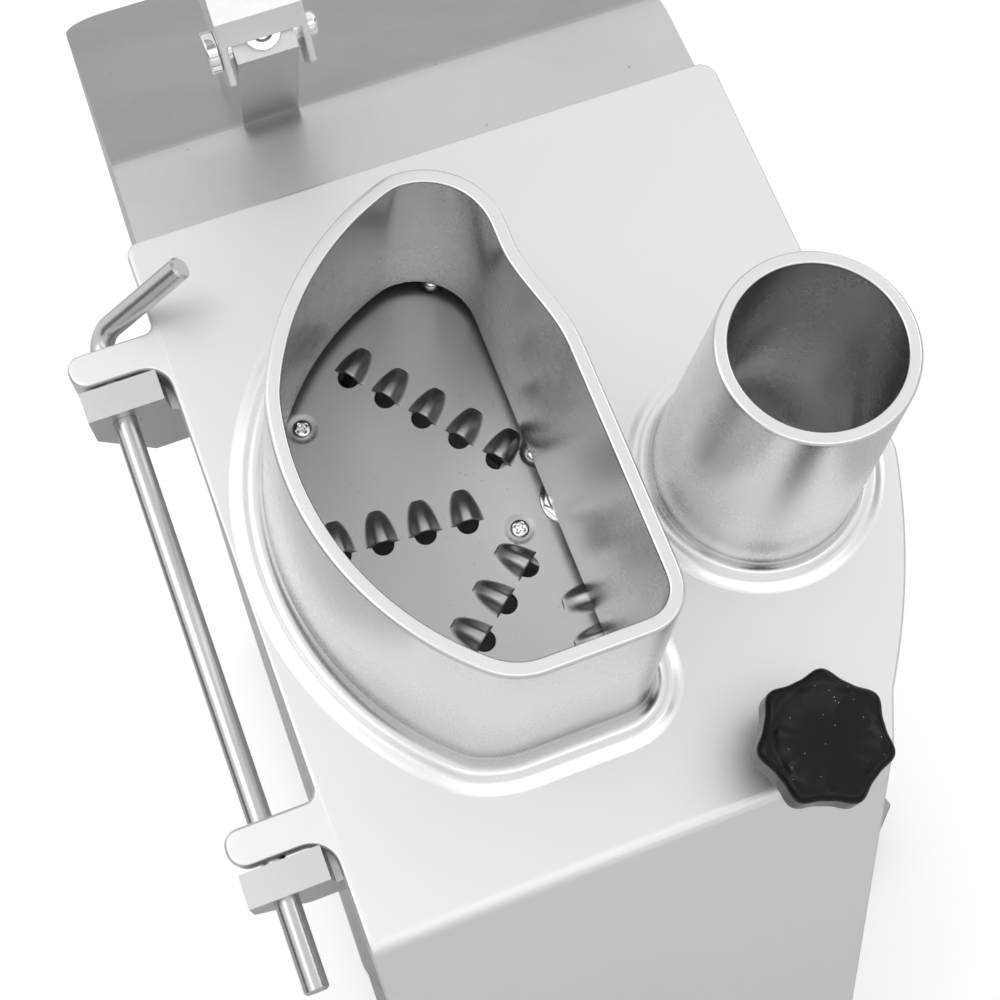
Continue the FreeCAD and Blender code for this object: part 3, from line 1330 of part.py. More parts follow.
def make_panel():
    """The switch panel on the right side with its start and stop buttons."""
    half_y, half_z = "panel_width / 2", "panel_height / 2"
    frame = padded("Panel", lambda body: polygon(body, "XY_Plane", "PanelPlan", [
        ("-" + half_z, "panel_corner - " + half_y), ("panel_corner - " + half_z, "-" + half_y),
        (half_z + " - panel_corner", "-" + half_y), (half_z, "panel_corner - " + half_y),
        (half_z, half_y + " - panel_corner"), (half_z + " - panel_corner", half_y),
        ("panel_corner - " + half_z, half_y), ("-" + half_z, half_y + " - panel_corner")]),
        "panel_thick")
    pocket(frame, "ButtonHoles", circles(frame, "XY_Plane", "ButtonPlan", [
        ("-button_pitch / 2", "0", "button_radius + button_gap"),
        ("button_pitch / 2", "0", "button_radius + button_gap")]))
    label(on_side(frame, "panel_y", "panel_z"), "switch_panel")
    rounds = {"start_button": ("-1", "button_stand - 2"), "stop_button": ("1", "button_stand + 3")}
    for name, (side, stand) in rounds.items():
        cap = turned(name.replace("_", ""), [
            ("0", "-stem_depth"), ("stem_radius", "-stem_depth"), ("stem_radius", "1"),
            ("button_radius", "1"), ("button_radius", "panel_thick + %s - button_round" % stand),
            ("button_radius - button_round", "panel_thick + %s" % stand),
            ("0", "panel_thick + %s" % stand)])
        x = "base_width / 2 - (panel_z - foot_height) * tan(draft)"
        z = "panel_z - (%s) * button_pitch / 2" % side
        shift = "(%s) * button_pitch / 2" % side
        move_to(cap, "base_x + %s + %s * sin(draft)" % (x, shift), "base_y + panel_y",
                "panel_z - %s * cos(draft)" % shift, (0, 1, 0), "90 - draft")
        label(cap, name)
    back = "-switch_deep - stem_depth - switch_room"
    block = box("SwitchCase", "panel_height - 2 * switch_margin", "panel_width - 2 * switch_margin",
                "switch_deep", "-panel_height / 2 + switch_margin", "-panel_width / 2 + switch_margin", back)
    sockets = [cylinder("SwitchSocket%d" % i, "socket_radius", "2 * socket_depth",
                        "button_pitch / 2 * %d" % side, "0", back + " - socket_depth")
               for i, side in enumerate((-1, 0, 1))]
    legs = [box("SwitchLeg%d" % i, "switch_leg", "panel_width - 2 * switch_margin",
                "stem_depth + switch_room", place, "-panel_width / 2 + switch_margin",
                "-stem_depth - switch_room")
            for i, place in enumerate(("-panel_height / 2 + switch_margin",
                                       "panel_height / 2 - switch_margin - switch_leg"))]
    block = take("SwitchBlock", join("SwitchBody", block, *legs), *sockets)
    label(on_side(block, "panel_y", "panel_z"), "switch_block")


def make_electrics():
    can = turned("Capacitor", [
        ("0", "0"), ("can_radius", "0"), ("can_radius", "can_height - 2"),
        ("can_radius - 3", "can_height"), ("0", "can_height")])
    label(upright(can, "can_radius + wall_room - base_width / 2", "can_y", "foot_height + plate_thick"),
          "run_capacitor")
    block = box("Terminal", "terminal_length", "terminal_width", "terminal_height")
    label(upright(block, "wall_room + 9 - base_width / 2", "terminal_width", "foot_height + plate_thick"),
          "terminal_block")


def check_document():
    """Stop when any object failed to build or a sub-part isn't one sound shape."""
    doc.recompute()
    for obj in doc.Objects:
        if "Invalid" in obj.State or "Error" in obj.State:
            raise RuntimeError("%s failed: %s" % (obj.Name, obj.State))
    for part in parts:
        if part.Shape.isNull() or not part.Shape.isValid():
            raise RuntimeError("%s has no sound shape" % part.Label)


make_lid()
make_casting()
make_hinge_pin()
make_knob()
make_disc()
make_carrier()
make_disc_screws()
make_rotor()
make_bearings()
make_motor()
make_bracket()
make_belt()
make_arm()
make_pusher()
make_lever_trim()
make_base()
make_rear_cover()
make_panel()
make_electrics()
check_document()
for part in parts:
    part.Shape.exportStep("parts/%s.step" % part.Label)
    bounds = part.Shape.BoundBox
    print("%-20s %2d solid(s) %9.0f mm3  x %7.1f %7.1f  y %7.1f %7.1f  z %7.1f %7.1f" % (
        part.Label, len(part.Shape.Solids), part.Shape.Volume, bounds.XMin, bounds.XMax,
        bounds.YMin, bounds.YMax, bounds.ZMin, bounds.ZMax))
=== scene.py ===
import json
import math

import bmesh
import bpy
import numpy as np
from mathutils import Matrix, Vector, geometry


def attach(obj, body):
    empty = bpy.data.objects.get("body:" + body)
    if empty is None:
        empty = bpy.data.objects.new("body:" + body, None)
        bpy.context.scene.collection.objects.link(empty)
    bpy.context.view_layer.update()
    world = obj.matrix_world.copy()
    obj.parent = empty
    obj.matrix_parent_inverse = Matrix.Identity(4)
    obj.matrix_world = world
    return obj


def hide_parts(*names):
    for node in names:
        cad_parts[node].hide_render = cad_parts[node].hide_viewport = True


# %% [markdown]
# The machine is a bench vegetable cutter: a cast aluminium body whose lid slopes towards
# the front, with a big hopper and a round feed tube standing on it.  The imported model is
# the fixed frame.  Everything made here sits in the same place, in metres.

# %% Load the frame and keep its size
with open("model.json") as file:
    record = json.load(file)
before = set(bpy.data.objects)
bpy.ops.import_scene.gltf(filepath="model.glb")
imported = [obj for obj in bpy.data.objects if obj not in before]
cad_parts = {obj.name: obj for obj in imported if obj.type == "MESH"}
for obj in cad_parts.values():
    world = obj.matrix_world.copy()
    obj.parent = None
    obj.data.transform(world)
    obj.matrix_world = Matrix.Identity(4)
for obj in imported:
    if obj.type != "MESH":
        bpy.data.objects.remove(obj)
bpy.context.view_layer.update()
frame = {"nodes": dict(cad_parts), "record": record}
nodes = frame["nodes"]

# %% [markdown]
# The lid, the hopper, the tube and the disc all share one sloping frame.  It is easier to
# draw them there, in millimetres, with u to the right, v up the slope and n out of the
# lid, and to turn the finished points into the row frame once.

# %% The sloping frame
SLOPE = math.radians(40)
ZERO = np.array([13.15, -122.0, 260.0])
UVN = np.array([[1, 0, 0],
                [0, math.cos(SLOPE), math.sin(SLOPE)],
                [0, -math.sin(SLOPE), math.cos(SLOPE)]])


def from_lid(points):
    """Row-frame metres: zero point plus u, v and n times their directions."""
    return (ZERO + np.asarray(points, float) @ UVN) / 1000


# %% [markdown]
# Every new surface is a grid of points worked out with numpy.  The grid's neighbours
# become quads; a grid that closes on itself wraps round.  Several grids can share a mesh:
# doubles are merged where they meet, so the shell is closed, and then the normals are
# turned outwards.

# %% Grids to meshes
def quads(rows, cols, wrap_rows=False, wrap_cols=False):
    """Index of each grid point and its next neighbours, as quads."""
    index = np.arange(rows * cols).reshape(rows, cols)
    if wrap_rows:
        index = np.vstack([index, index[:1]])
    if wrap_cols:
        index = np.hstack([index, index[:, :1]])
    return np.stack([index[:-1, :-1], index[:-1, 1:], index[1:, 1:], index[1:, :-1]],
                    -1).reshape(-1, 4)


def grid(points, wrap_rows=False, wrap_cols=False):
    points = np.asarray(points, float)
    return points.reshape(-1, 3), quads(*points.shape[:2], wrap_rows, wrap_cols).tolist()


def cap(loop):
    """One polygon over a flat loop of points."""
    return np.asarray(loop, float), [list(range(len(loop)))]


MERGE = 2e-6     # points closer than this, in metres, become one


def new_object(name, data):
    """A new object in the scene's collection."""
    made = bpy.data.objects.new(name, data)
    bpy.context.scene.collection.objects.link(made)
    return made


def make_piece(name, surfaces, body, materials, sharp=32, marks=None):
    """Join the surfaces, close the shell, point it outwards and let it ride."""
    verts, faces, start = [], [], 0
    for points, polys in surfaces:
        verts.append(points)
        faces += [[i + start for i in poly] for poly in polys]
        start += len(points)
    mesh = bpy.data.meshes.new(name)
    mesh.from_pydata(from_lid(np.concatenate(verts)).tolist(), [], faces)
    if marks is not None:
        mesh.polygons.foreach_set("material_index", np.asarray(marks, np.int32))
    finish_mesh(mesh, sharp)
    piece = new_object(name, mesh)
    dress(piece, body, materials)
    print(name, len(mesh.vertices), "points")
    return piece


def crisp(mesh, sharp):
    """Smooth shading, with edges over `sharp` degrees kept crisp."""
    mesh.shade_smooth()
    mesh.set_sharp_from_angle(angle=math.radians(sharp))


def finish_mesh(mesh, sharp):
    """Merge doubles, turn the faces outwards and shade the mesh."""
    form = bmesh.new()
    form.from_mesh(mesh)
    bmesh.ops.remove_doubles(form, verts=form.verts, dist=MERGE)
    bmesh.ops.recalc_face_normals(form, faces=form.faces)
    form.to_mesh(mesh)
    form.free()
    crisp(mesh, sharp)


def dress(piece, body, materials):
    """Give a piece its materials, even shading, and the body it belongs to."""
    piece.data.materials.clear()
    for material in materials:
        piece.data.materials.append(material)
    even = piece.modifiers.new("Even shading", "WEIGHTED_NORMAL")
    even.keep_sharp = True
    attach(piece, body)


# %% [markdown]
# Many pieces keep the frame's own shape.  Their mesh is loose triangles, so a copy is
# merged, its flat faces are joined again, and a narrow bevel gives each edge the small
# radius that a casting or a pressed sheet has.  The copy then stands for the node.

# %% Bevelled copies of frame nodes
FLAT_WITHIN = math.radians(1.2)     # triangles that bend less than this are one face


def carry_over(node, body, material, bevel, sharp, segments):
    """A merged copy of a node with its edges rounded by `bevel` millimetres."""
    mesh = nodes[node].data.copy()
    mesh.name = node + "_form"
    form = bmesh.new()
    form.from_mesh(mesh)
    bmesh.ops.remove_doubles(form, verts=form.verts, dist=MERGE)
    bmesh.ops.dissolve_limit(form, angle_limit=FLAT_WITHIN, verts=form.verts,
                             edges=form.edges)
    form.to_mesh(mesh)
    form.free()
    crisp(mesh, sharp)
    piece = new_object(node + "_form", mesh)
    edge = piece.modifiers.new("Edge radius", "BEVEL")
    edge.width = bevel / 1000
    edge.segments = segments
    edge.limit_method = "ANGLE"
    edge.angle_limit = math.radians(sharp + 6)
    edge.use_clamp_overlap = True
    edge.harden_normals = False
    dress(piece, body, [material])
    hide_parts(node)


# %% [markdown]
# Bare metal shows three things at once: a grain from how it was made, a slow change of
# brightness where hands and tools have been, and small marks.  Two node groups make
# them from Object coordinates, and each metal places them with its own values.

# %% Shared node groups
def new_group(name, inputs, outputs):
    group = bpy.data.node_groups.new(name, "ShaderNodeTree")
    for label, value, low, high in inputs:
        socket = group.interface.new_socket(label, in_out="INPUT", socket_type="NodeSocketFloat")
        socket.default_value, socket.min_value, socket.max_value = value, low, high
    for label in outputs:
        group.interface.new_socket(label, in_out="OUTPUT", socket_type="NodeSocketFloat")
    return group, group.nodes.new("NodeGroupInput"), group.nodes.new("NodeGroupOutput")


def link(tree, start, end):
    tree.links.new(start, end)


def node(tree, kind, **values):
    made = tree.nodes.new(kind)
    for name, value in values.items():
        if name in made.inputs:
            made.inputs[name].default_value = value
        else:
            setattr(made, name.lower(), value)
    return made


def math_node(tree, operation, a, b=None, clamp=False):
    made = tree.nodes.new("ShaderNodeMath")
    made.operation = operation
    made.use_clamp = clamp
    for socket, value in zip(made.inputs, (a, b)):
        if value is None:
            continue
        if isinstance(value, (int, float)):
            socket.default_value = value
        else:
            link(tree, value, socket)
    return made.outputs[0]


def build_grain():
    """Fine noise stretched along one direction, plus a slower cloud, both centred on 0."""
    group, entry, leave = new_group(
        "Metal grain", [("Fine Scale", 900, 1, 20000), ("Stretch", 1, 0.01, 50),
                        ("Cloud Scale", 14, 0.1, 500)], ["Fine", "Cloud"])
    place = group.nodes.new("ShaderNodeTexCoord")
    squeeze = node(group, "ShaderNodeCombineXYZ", X=1.0, Z=1.0)
    link(group, entry.outputs["Stretch"], squeeze.inputs["Y"])
    scaled = group.nodes.new("ShaderNodeVectorMath")
    scaled.operation = "MULTIPLY"
    link(group, place.outputs["Object"], scaled.inputs[0])
    link(group, squeeze.outputs[0], scaled.inputs[1])
    fine = node(group, "ShaderNodeTexNoise", Detail=3.0, Roughness=0.6)
    link(group, scaled.outputs[0], fine.inputs["Vector"])
    link(group, entry.outputs["Fine Scale"], fine.inputs["Scale"])
    cloud = node(group, "ShaderNodeTexNoise", Detail=4.0, Roughness=0.55, Distortion=0.6)
    link(group, place.outputs["Object"], cloud.inputs["Vector"])
    link(group, entry.outputs["Cloud Scale"], cloud.inputs["Scale"])
    link(group, math_node(group, "SUBTRACT", fine.outputs[0], 0.5), leave.inputs["Fine"])
    link(group, math_node(group, "SUBTRACT", cloud.outputs[0], 0.5), leave.inputs["Cloud"])
    return group


def build_specks():
    """Sparse small spots: a Voronoi cell counts where its random value is rare."""
    group, entry, leave = new_group(
        "Small marks", [("Scale", 400, 1, 5000), ("Share", 0.02, 0, 1), ("Size", 0.25, 0, 1)],
        ["Mask"])
    place = group.nodes.new("ShaderNodeTexCoord")
    cells = node(group, "ShaderNodeTexVoronoi", Randomness=1.0)
    link(group, place.outputs["Object"], cells.inputs["Vector"])
    link(group, entry.outputs["Scale"], cells.inputs["Scale"])
    near = math_node(group, "LESS_THAN", cells.outputs["Distance"], entry.outputs["Size"])
    pick = group.nodes.new("ShaderNodeSeparateColor")
    link(group, cells.outputs["Color"], pick.inputs[0])
    rare = math_node(group, "LESS_THAN", pick.outputs[0], entry.outputs["Share"])
    link(group, math_node(group, "MULTIPLY", near, rare), leave.inputs["Mask"])
    return group


GRAIN, SPECKS = build_grain(), build_specks()


def placed(tree, group, **values):
    made = tree.nodes.new("ShaderNodeGroup")
    made.node_tree = group
    for name, value in values.items():
        made.inputs[name.replace("_", " ")].default_value = value
    return made


METAL_RISE, PLASTIC_RISE = 0.0004, 0.0003     # height of the grain in metres
DUST = (0.45, 0.45, 0.45, 1)


def new_material(name):
    made = bpy.data.materials.new(name)
    made.use_nodes = True
    return made, made.node_tree, made.node_tree.nodes["Principled BSDF"]


def raise_grain(tree, shader, marking, strength, height):
    """A bump that follows the fine grain."""
    if strength:
        rise = node(tree, "ShaderNodeBump", Strength=strength, Distance=height)
        link(tree, marking.outputs["Fine"], rise.inputs["Height"])
        link(tree, rise.outputs[0], shader.inputs["Normal"])


def metal(name, color, roughness, grain=0.1, cloud=0.06, cloud_color=0.06, bump=0.02,
          fine=900, stretch=1.0, cloud_scale=14.0, marks=None):
    """Roughness follows the grain and the cloud, brightness the cloud.

    `marks` holds the scale, share, size and depth of small dark spots.
    """
    made, tree, shader = new_material(name)
    shader.inputs["Metallic"].default_value = 1.0
    marking = placed(tree, GRAIN, Fine_Scale=fine, Stretch=stretch, Cloud_Scale=cloud_scale)
    both = math_node(tree, "ADD", math_node(tree, "MULTIPLY", marking.outputs["Fine"], grain),
                     math_node(tree, "MULTIPLY", marking.outputs["Cloud"], cloud))
    link(tree, math_node(tree, "ADD", both, roughness, clamp=True), shader.inputs["Roughness"])
    change = math_node(tree, "MULTIPLY", marking.outputs["Cloud"], cloud_color)
    tone = math_node(tree, "ADD", change, 1.0)
    if marks:
        scale, share, size, depth = marks
        spots = placed(tree, SPECKS, Scale=scale, Share=share, Size=size)
        dark = math_node(tree, "MULTIPLY", spots.outputs[0], -depth)
        tone = math_node(tree, "ADD", tone, dark)
    shade = tree.nodes.new("ShaderNodeMix")
    shade.data_type = "RGBA"
    shade.blend_type = "MULTIPLY"
    shade.inputs["Factor"].default_value = 1.0
    shade.inputs["A"].default_value = (*color, 1)
    paint = tree.nodes.new("ShaderNodeCombineColor")
    for channel in paint.inputs:
        link(tree, tone, channel)
    link(tree, paint.outputs[0], shade.inputs["B"])
    link(tree, shade.outputs["Result"], shader.inputs["Base Color"])
    raise_grain(tree, shader, marking, bump, METAL_RISE)
    return made


def plastic(name, color, roughness, bump=0.05, grain=0.08, dust=0.0, gloss=0.5):
    """A moulded plastic or rubber: a faint grain, and pale dust where `dust` is over 0."""
    made, tree, shader = new_material(name)
    shader.inputs["Specular IOR Level"].default_value = gloss
    marking = placed(tree, GRAIN, Fine_Scale=700, Stretch=1.0, Cloud_Scale=60.0)
    fine = math_node(tree, "MULTIPLY", marking.outputs["Fine"], grain)
    rough = math_node(tree, "ADD", fine, roughness, clamp=True)
    link(tree, rough, shader.inputs["Roughness"])
    spots = placed(tree, SPECKS, Scale=1400.0, Share=dust, Size=0.22)
    shade = tree.nodes.new("ShaderNodeMix")
    shade.data_type = "RGBA"
    link(tree, spots.outputs[0], shade.inputs["Factor"])
    shade.inputs["A"].default_value = (*color, 1)
    shade.inputs["B"].default_value = DUST
    link(tree, shade.outputs["Result"], shader.inputs["Base Color"])
    raise_grain(tree, shader, marking, bump, PLASTIC_RISE)
    return made


# %% Materials of this machine
def grey(level):
    return (level, level, level)


LID_SATIN = metal("Satin cast lid", grey(0.76), 0.44, grain=0.12, cloud=0.10, bump=0.05,
                  fine=1500, cloud_scale=9)
POLISHED = metal("Polished casting", grey(0.76), 0.27, grain=0.05, cloud=0.14,
                 cloud_color=0.08, bump=0.012, cloud_scale=20)
RIM = metal("Machined rim", grey(0.52), 0.40, grain=0.12, cloud=0.05, cloud_color=0.12,
            bump=0.06, fine=1800)
# The inner wall's grey is partly its rough cast finish and partly painted shade: it is darker than
# the raw casting elsewhere, standing in for the shade inside the hopper and the tube's bore.
INSIDE_CAST_AND_SHADE = metal("Cast inside wall with painted shade", grey(0.43), 0.60, grain=0.25, cloud=0.12,
               cloud_color=0.7, bump=0.5, fine=420, cloud_scale=46)
DECK = metal("Brushed body", grey(0.58), 0.36, grain=0.16, cloud=0.16, cloud_color=0.30,
             bump=0.08, fine=700, stretch=0.12, cloud_scale=11, marks=(260, 0.03, 0.16, 0.25))
BAR = metal("Drawn stainless bar", (0.56, 0.55, 0.54), 0.22, grain=0.16, cloud=0.05,
            bump=0.05, fine=1600, stretch=0.03)
SHEET = metal("Rolled stainless sheet", grey(0.50), 0.36, grain=0.14, cloud=0.12,
              cloud_color=0.22, bump=0.04, fine=1300, cloud_scale=26,
              marks=(700, 0.03, 0.2, 0.3))
PUSHER = metal("Satin pusher", grey(0.70), 0.38, grain=0.12, cloud=0.1, bump=0.05, fine=1200)
CHROME = metal("Plated screw", grey(0.86), 0.12, grain=0.06, cloud=0.05, bump=0.0)
STEEL = metal("Turned steel", grey(0.58), 0.32, bump=0.05, fine=1500)
INNER_CAST = metal("Raw casting", grey(0.56), 0.5, grain=0.3, bump=0.3, fine=600)
LEVER = metal("Brushed lever", grey(0.72), 0.30, cloud=0.10, cloud_color=0.15, bump=0.01,
              fine=500, stretch=0.1)
KNOB_BLACK = plastic("Black knob plastic", grey(0.006), 0.2, dust=0.02, bump=0.02,
                     grain=0.04, gloss=0.2)
BLACK = plastic("Black plastic", grey(0.03), 0.45)
RUBBER = plastic("Black rubber", grey(0.025), 0.75, bump=0.2)
GREEN = plastic("Green button", (0.03, 0.30, 0.10), 0.25)
RED = plastic("Red button", (0.55, 0.03, 0.03), 0.25)
GREY = plastic("Grey plastic", (0.33, 0.33, 0.34), 0.5)
WHITE = plastic("White ejector plastic", (0.74, 0.74, 0.72), 0.5)
PAINT = plastic("Motor paint", (0.12, 0.13, 0.14), 0.45, bump=0.1)

# %% [markdown]
# Outlines come up again and again: the lid's edge, the knuckles, the hopper.  A rounded
# path takes corners with a radius each and replaces every corner by an arc that touches
# both sides.

# %% Rounded paths
def rounded_path(corners, step=9):
    """Closed loop: each (x, y, radius) corner becomes an arc tangent to its two sides.

    The arc has a point about every `step` degrees.
    """
    points = np.array([c[:2] for c in corners], float)
    made = []
    for i, (*_, radius) in enumerate(corners):
        here, back, ahead = points[i], points[i - 1], points[(i + 1) % len(points)]
        if radius <= 0:
            made.append(here[None])
            continue
        a, b = (back - here), (ahead - here)
        a, b = a / np.linalg.norm(a), b / np.linalg.norm(b)
        turn = math.acos(np.clip(a @ b, -1, 1))
        reach = radius / math.tan(turn / 2)
        centre = here + (a + b) / np.linalg.norm(a + b) * radius / math.sin(turn / 2)
        first, last = here + a * reach - centre, here + b * reach - centre
        start = math.atan2(first[1], first[0])
        sweep = (math.atan2(last[1], last[0]) - start + math.pi) % (2 * math.pi) - math.pi
        angles = start + sweep * np.linspace(0, 1, max(3, int(abs(math.degrees(sweep)) / step) + 2))
        made.append(centre + radius * np.stack([np.cos(angles), np.sin(angles)], 1))
    return np.concatenate(made)


def resample(loop, spacing):
    """Points at even steps along a closed loop, by adding up the chord lengths."""
    ring = np.vstack([loop, loop[:1]])
    length = np.concatenate([[0], np.cumsum(np.linalg.norm(np.diff(ring, axis=0), axis=1))])
    count = int(length[-1] / spacing)
    at = np.linspace(0, length[-1], count, endpoint=False)
    return np.stack([np.interp(at, length, ring[:, k]) for k in range(ring.shape[1])], 1)


def outward(loop):
    """Unit normals of a closed counter-clockwise loop: the tangent turned right."""
    tangent = np.roll(loop, -1, 0) - np.roll(loop, 1, 0)
    tangent /= np.linalg.norm(tangent, axis=1)[:, None]
    return np.stack([tangent[:, 1], -tangent[:, 0]], 1)


def smooth_loop(values, sigma, spacing):
    """A Gaussian average round the loop, done as a product in frequency space."""
    count = len(values)
    wave = np.fft.fftfreq(count, spacing)
    gain = np.exp(-2 * (np.pi * wave * sigma) ** 2)
    return np.real(np.fft.ifft(np.fft.fft(values, axis=0) * gain[:, None], axis=0))


# %% [markdown]
# The hopper is a leaning wall of one thickness whose outline changes with height: an arc
# concentric with the disc on the left, a flat right wall with a soft notch at the rim, and
# a rounded tip.  Its section is a profile carried round that outline: root fillet, outer
# wall, flat rim with broken edges, inner wall.

# %% Hopper
HOPPER_RIM, HOPPER_FOOT, HOPPER_COUNT = 90.0, -24.0, 420
OUTLINE = {     # sizes of the inner outline, each at the foot and at the rim
    "arc": (100.4, 89.5), "side": (7.5, 6.5), "front": (79, 72.4), "notch": (0, 7),
    "notch end": (62, 44), "tip": (93.6, 71), "tip u": (-34, -36), "tip bow": (9, 7.5),
    "tip drop": (4, 4.5), "shoulder": (0, 4.3)}
NOTCH_START, TIP_SIDE, CORNER, CORNER_BOW = 8, 21, 9, 0.29
SHOULDER_AT, ARC_START, ARC_MIDDLE, ARC_END = 143.7, 166, 198, 229
LOW_CORNER, LOW_BOW, LOW_LIFT = 13, 5.5, 1.4
SOFTENED, SPACING = 1.6, 1.15


def polar(radius, degrees):
    """The plan point at this radius and angle about the disc's axis."""
    angle = math.radians(degrees)
    return radius * math.cos(angle), radius * math.sin(angle)


def arc_through(a, m, b, count):
    """Points of the circle through three points, from the first to the last."""
    (ax, ay), (mx, my), (bx, by) = a, m, b
    a2, m2, b2 = ax**2 + ay**2, mx**2 + my**2, bx**2 + by**2
    d = 2 * (ax * (my - by) + mx * (by - ay) + bx * (ay - my))
    cx = (a2 * (my - by) + m2 * (by - ay) + b2 * (ay - my)) / d
    cy = (a2 * (bx - mx) + m2 * (ax - bx) + b2 * (mx - ax)) / d
    start, mid, end = (math.atan2(y - cy, x - cx) for x, y in (a, m, b))
    turn = (end - start) % (2 * math.pi)
    if (mid - start) % (2 * math.pi) > turn:
        turn -= 2 * math.pi
    angle = start + turn * np.linspace(0, 1, count, endpoint=False)
    radius = math.hypot(ax - cx, ay - cy)
    return np.stack([cx + radius * np.cos(angle), cy + radius * np.sin(angle)], 1)


def straight(a, b, count):
    t = np.linspace(0, 1, count, endpoint=False)[:, None]
    return np.array(a) * (1 - t) + np.array(b) * t


def hopper_loop(n):
    """The inner outline at height n, its sizes blended between the foot and the rim."""
    share = (n - HOPPER_FOOT) / (HOPPER_RIM - HOPPER_FOOT)
    size = {name: foot + (rim - foot) * share for name, (foot, rim) in OUTLINE.items()}
    side, front, tip, radius = -size["side"], -size["front"], size["tip"], size["arc"]
    wall = side - size["notch"]
    low, high = (side, NOTCH_START), (wall, size["notch end"])
    tip_end, tip_start = (wall, tip - TIP_SIDE), (size["tip u"], tip)
    tip_mid = (wall - size["tip bow"], tip - size["tip drop"])
    arc_start, arc_low = polar(radius, ARC_START), polar(radius, ARC_END)
    front_left, front_right = (arc_low[0] + LOW_CORNER, front), (side - CORNER, front)
    ease = np.linspace(0, 1, 60, endpoint=False)
    notch = np.stack([low[0] + (high[0] - low[0]) * ease**2 * (3 - 2 * ease),
                      low[1] + (high[1] - low[1]) * ease], 1)
    bow = CORNER_BOW * CORNER
    loop = np.concatenate([
        straight((side, front + CORNER), low, 60), notch, straight(high, tip_end, 30),
        arc_through(tip_end, tip_mid, tip_start, 40),
        arc_through(tip_start, polar(radius - size["shoulder"], SHOULDER_AT), arc_start, 60),
        arc_through(arc_start, polar(radius, ARC_MIDDLE), arc_low, 90),
        arc_through(arc_low, (arc_low[0] + LOW_BOW, front + LOW_LIFT), front_left, 24),
        straight(front_left, front_right, 40),
        arc_through(front_right, (side - bow, front + bow), (side, front + CORNER), 24)])
    length = np.linalg.norm(np.diff(loop, axis=0), axis=1).sum()
    even = resample(loop, length / (HOPPER_COUNT + 0.5))[:HOPPER_COUNT]
    return smooth_loop(even, SOFTENED, SPACING)


def carried(profile):
    """Each profile point (n, offset) becomes the outline at n moved outwards by offset."""
    rows = []
    for n, offset in profile:
        loop = hopper_loop(n)
        moved = loop + outward(loop) * offset
        rows.append(np.column_stack([moved, np.full(len(moved), n)]))
    return np.array(rows)


def quarter(centre, radius, start, end, count):
    """Points of an arc in a profile, as (n, offset)."""
    angle = np.radians(np.linspace(start, end, count))
    return [(centre[0] + radius * math.sin(a), centre[1] + radius * math.cos(a)) for a in angle]


def tagged(outer, rim, section, cols):
    """Material number of each quad: 0 on the outer wall, 1 on the rim, 2 on the rest."""
    rest = len(section) - len(outer) - len(rim)
    return np.repeat([0] * len(outer) + [1] * len(rim) + [2] * rest, cols)


WALL, ROOT, ROOT_RISE, EDGE_OUT, EDGE_IN, FOOT_EDGE = 4.5, 6.0, 0.8, 1.2, 0.8, 0.6
IN_LID, UNDER_ROOT = -6.0, -1.6     # where the outer wall ends inside the lid's plate
RIDGE_OUT = (6.0, 5.2, 4.2, 3.0, 1.8, 0.8, -0.2, -1.0)     # the cast ridge round a root
HOPPER_RIDGE = (-0.9, -0.05, 0.12, 0.45, 0.95, 1.25, 1.2, 0.95)     # and its heights
outer_run = ([(n, WALL + ROOT + out) for n, out in zip(HOPPER_RIDGE, RIDGE_OUT)]
             + [(ROOT_RISE + ROOT - ROOT * math.cos(a), WALL + ROOT - ROOT * math.sin(a))
                for a in np.radians(np.linspace(18, 88, 9))]
             + [(h, WALL) for h in np.linspace(ROOT + 3, HOPPER_RIM - EDGE_OUT - 0.4, 14)])
rim_run = (quarter((HOPPER_RIM - EDGE_OUT, WALL - EDGE_OUT), EDGE_OUT, 0, 90, 6)
           + quarter((HOPPER_RIM - EDGE_IN, EDGE_IN), EDGE_IN, 90, 180, 5))
foot_inside = HOPPER_FOOT + FOOT_EDGE
inner_wall = [(h, 0.0) for h in np.linspace(HOPPER_RIM - EDGE_IN - 0.6, foot_inside, 20)]
under = [(HOPPER_FOOT, FOOT_EDGE), (HOPPER_FOOT, WALL - FOOT_EDGE), (foot_inside, WALL),
         (IN_LID, WALL), (UNDER_ROOT, WALL + ROOT)]
section = outer_run + rim_run + inner_wall + under
print("hopper rim is", round(np.ptp(hopper_loop(HOPPER_RIM)[:, 1]), 1), "mm long")
hopper = make_piece("hopper", [grid(carried(section), wrap_rows=True, wrap_cols=True)], "lid",
                    [POLISHED, RIM, INSIDE_CAST_AND_SHADE],
                    marks=tagged(outer_run, rim_run, section, HOPPER_COUNT))

# %% [markdown]
# The round tube is the same idea turned about an axis: a cone outside with a fillet and a
# small cast ridge at its root, a flat machined rim, and a plain bore inside.

# %% Round tube
def turned(profile, centre, count=96):
    """Surface of revolution about n from a closed profile of (radius, n)."""
    radius, height = np.array(profile, float).T
    angle = np.linspace(0, 2 * math.pi, count, endpoint=False)
    return np.stack([centre[0] + radius[:, None] * np.cos(angle),
                     centre[1] + radius[:, None] * np.sin(angle),
                     np.repeat(height[:, None], count, 1)], -1)


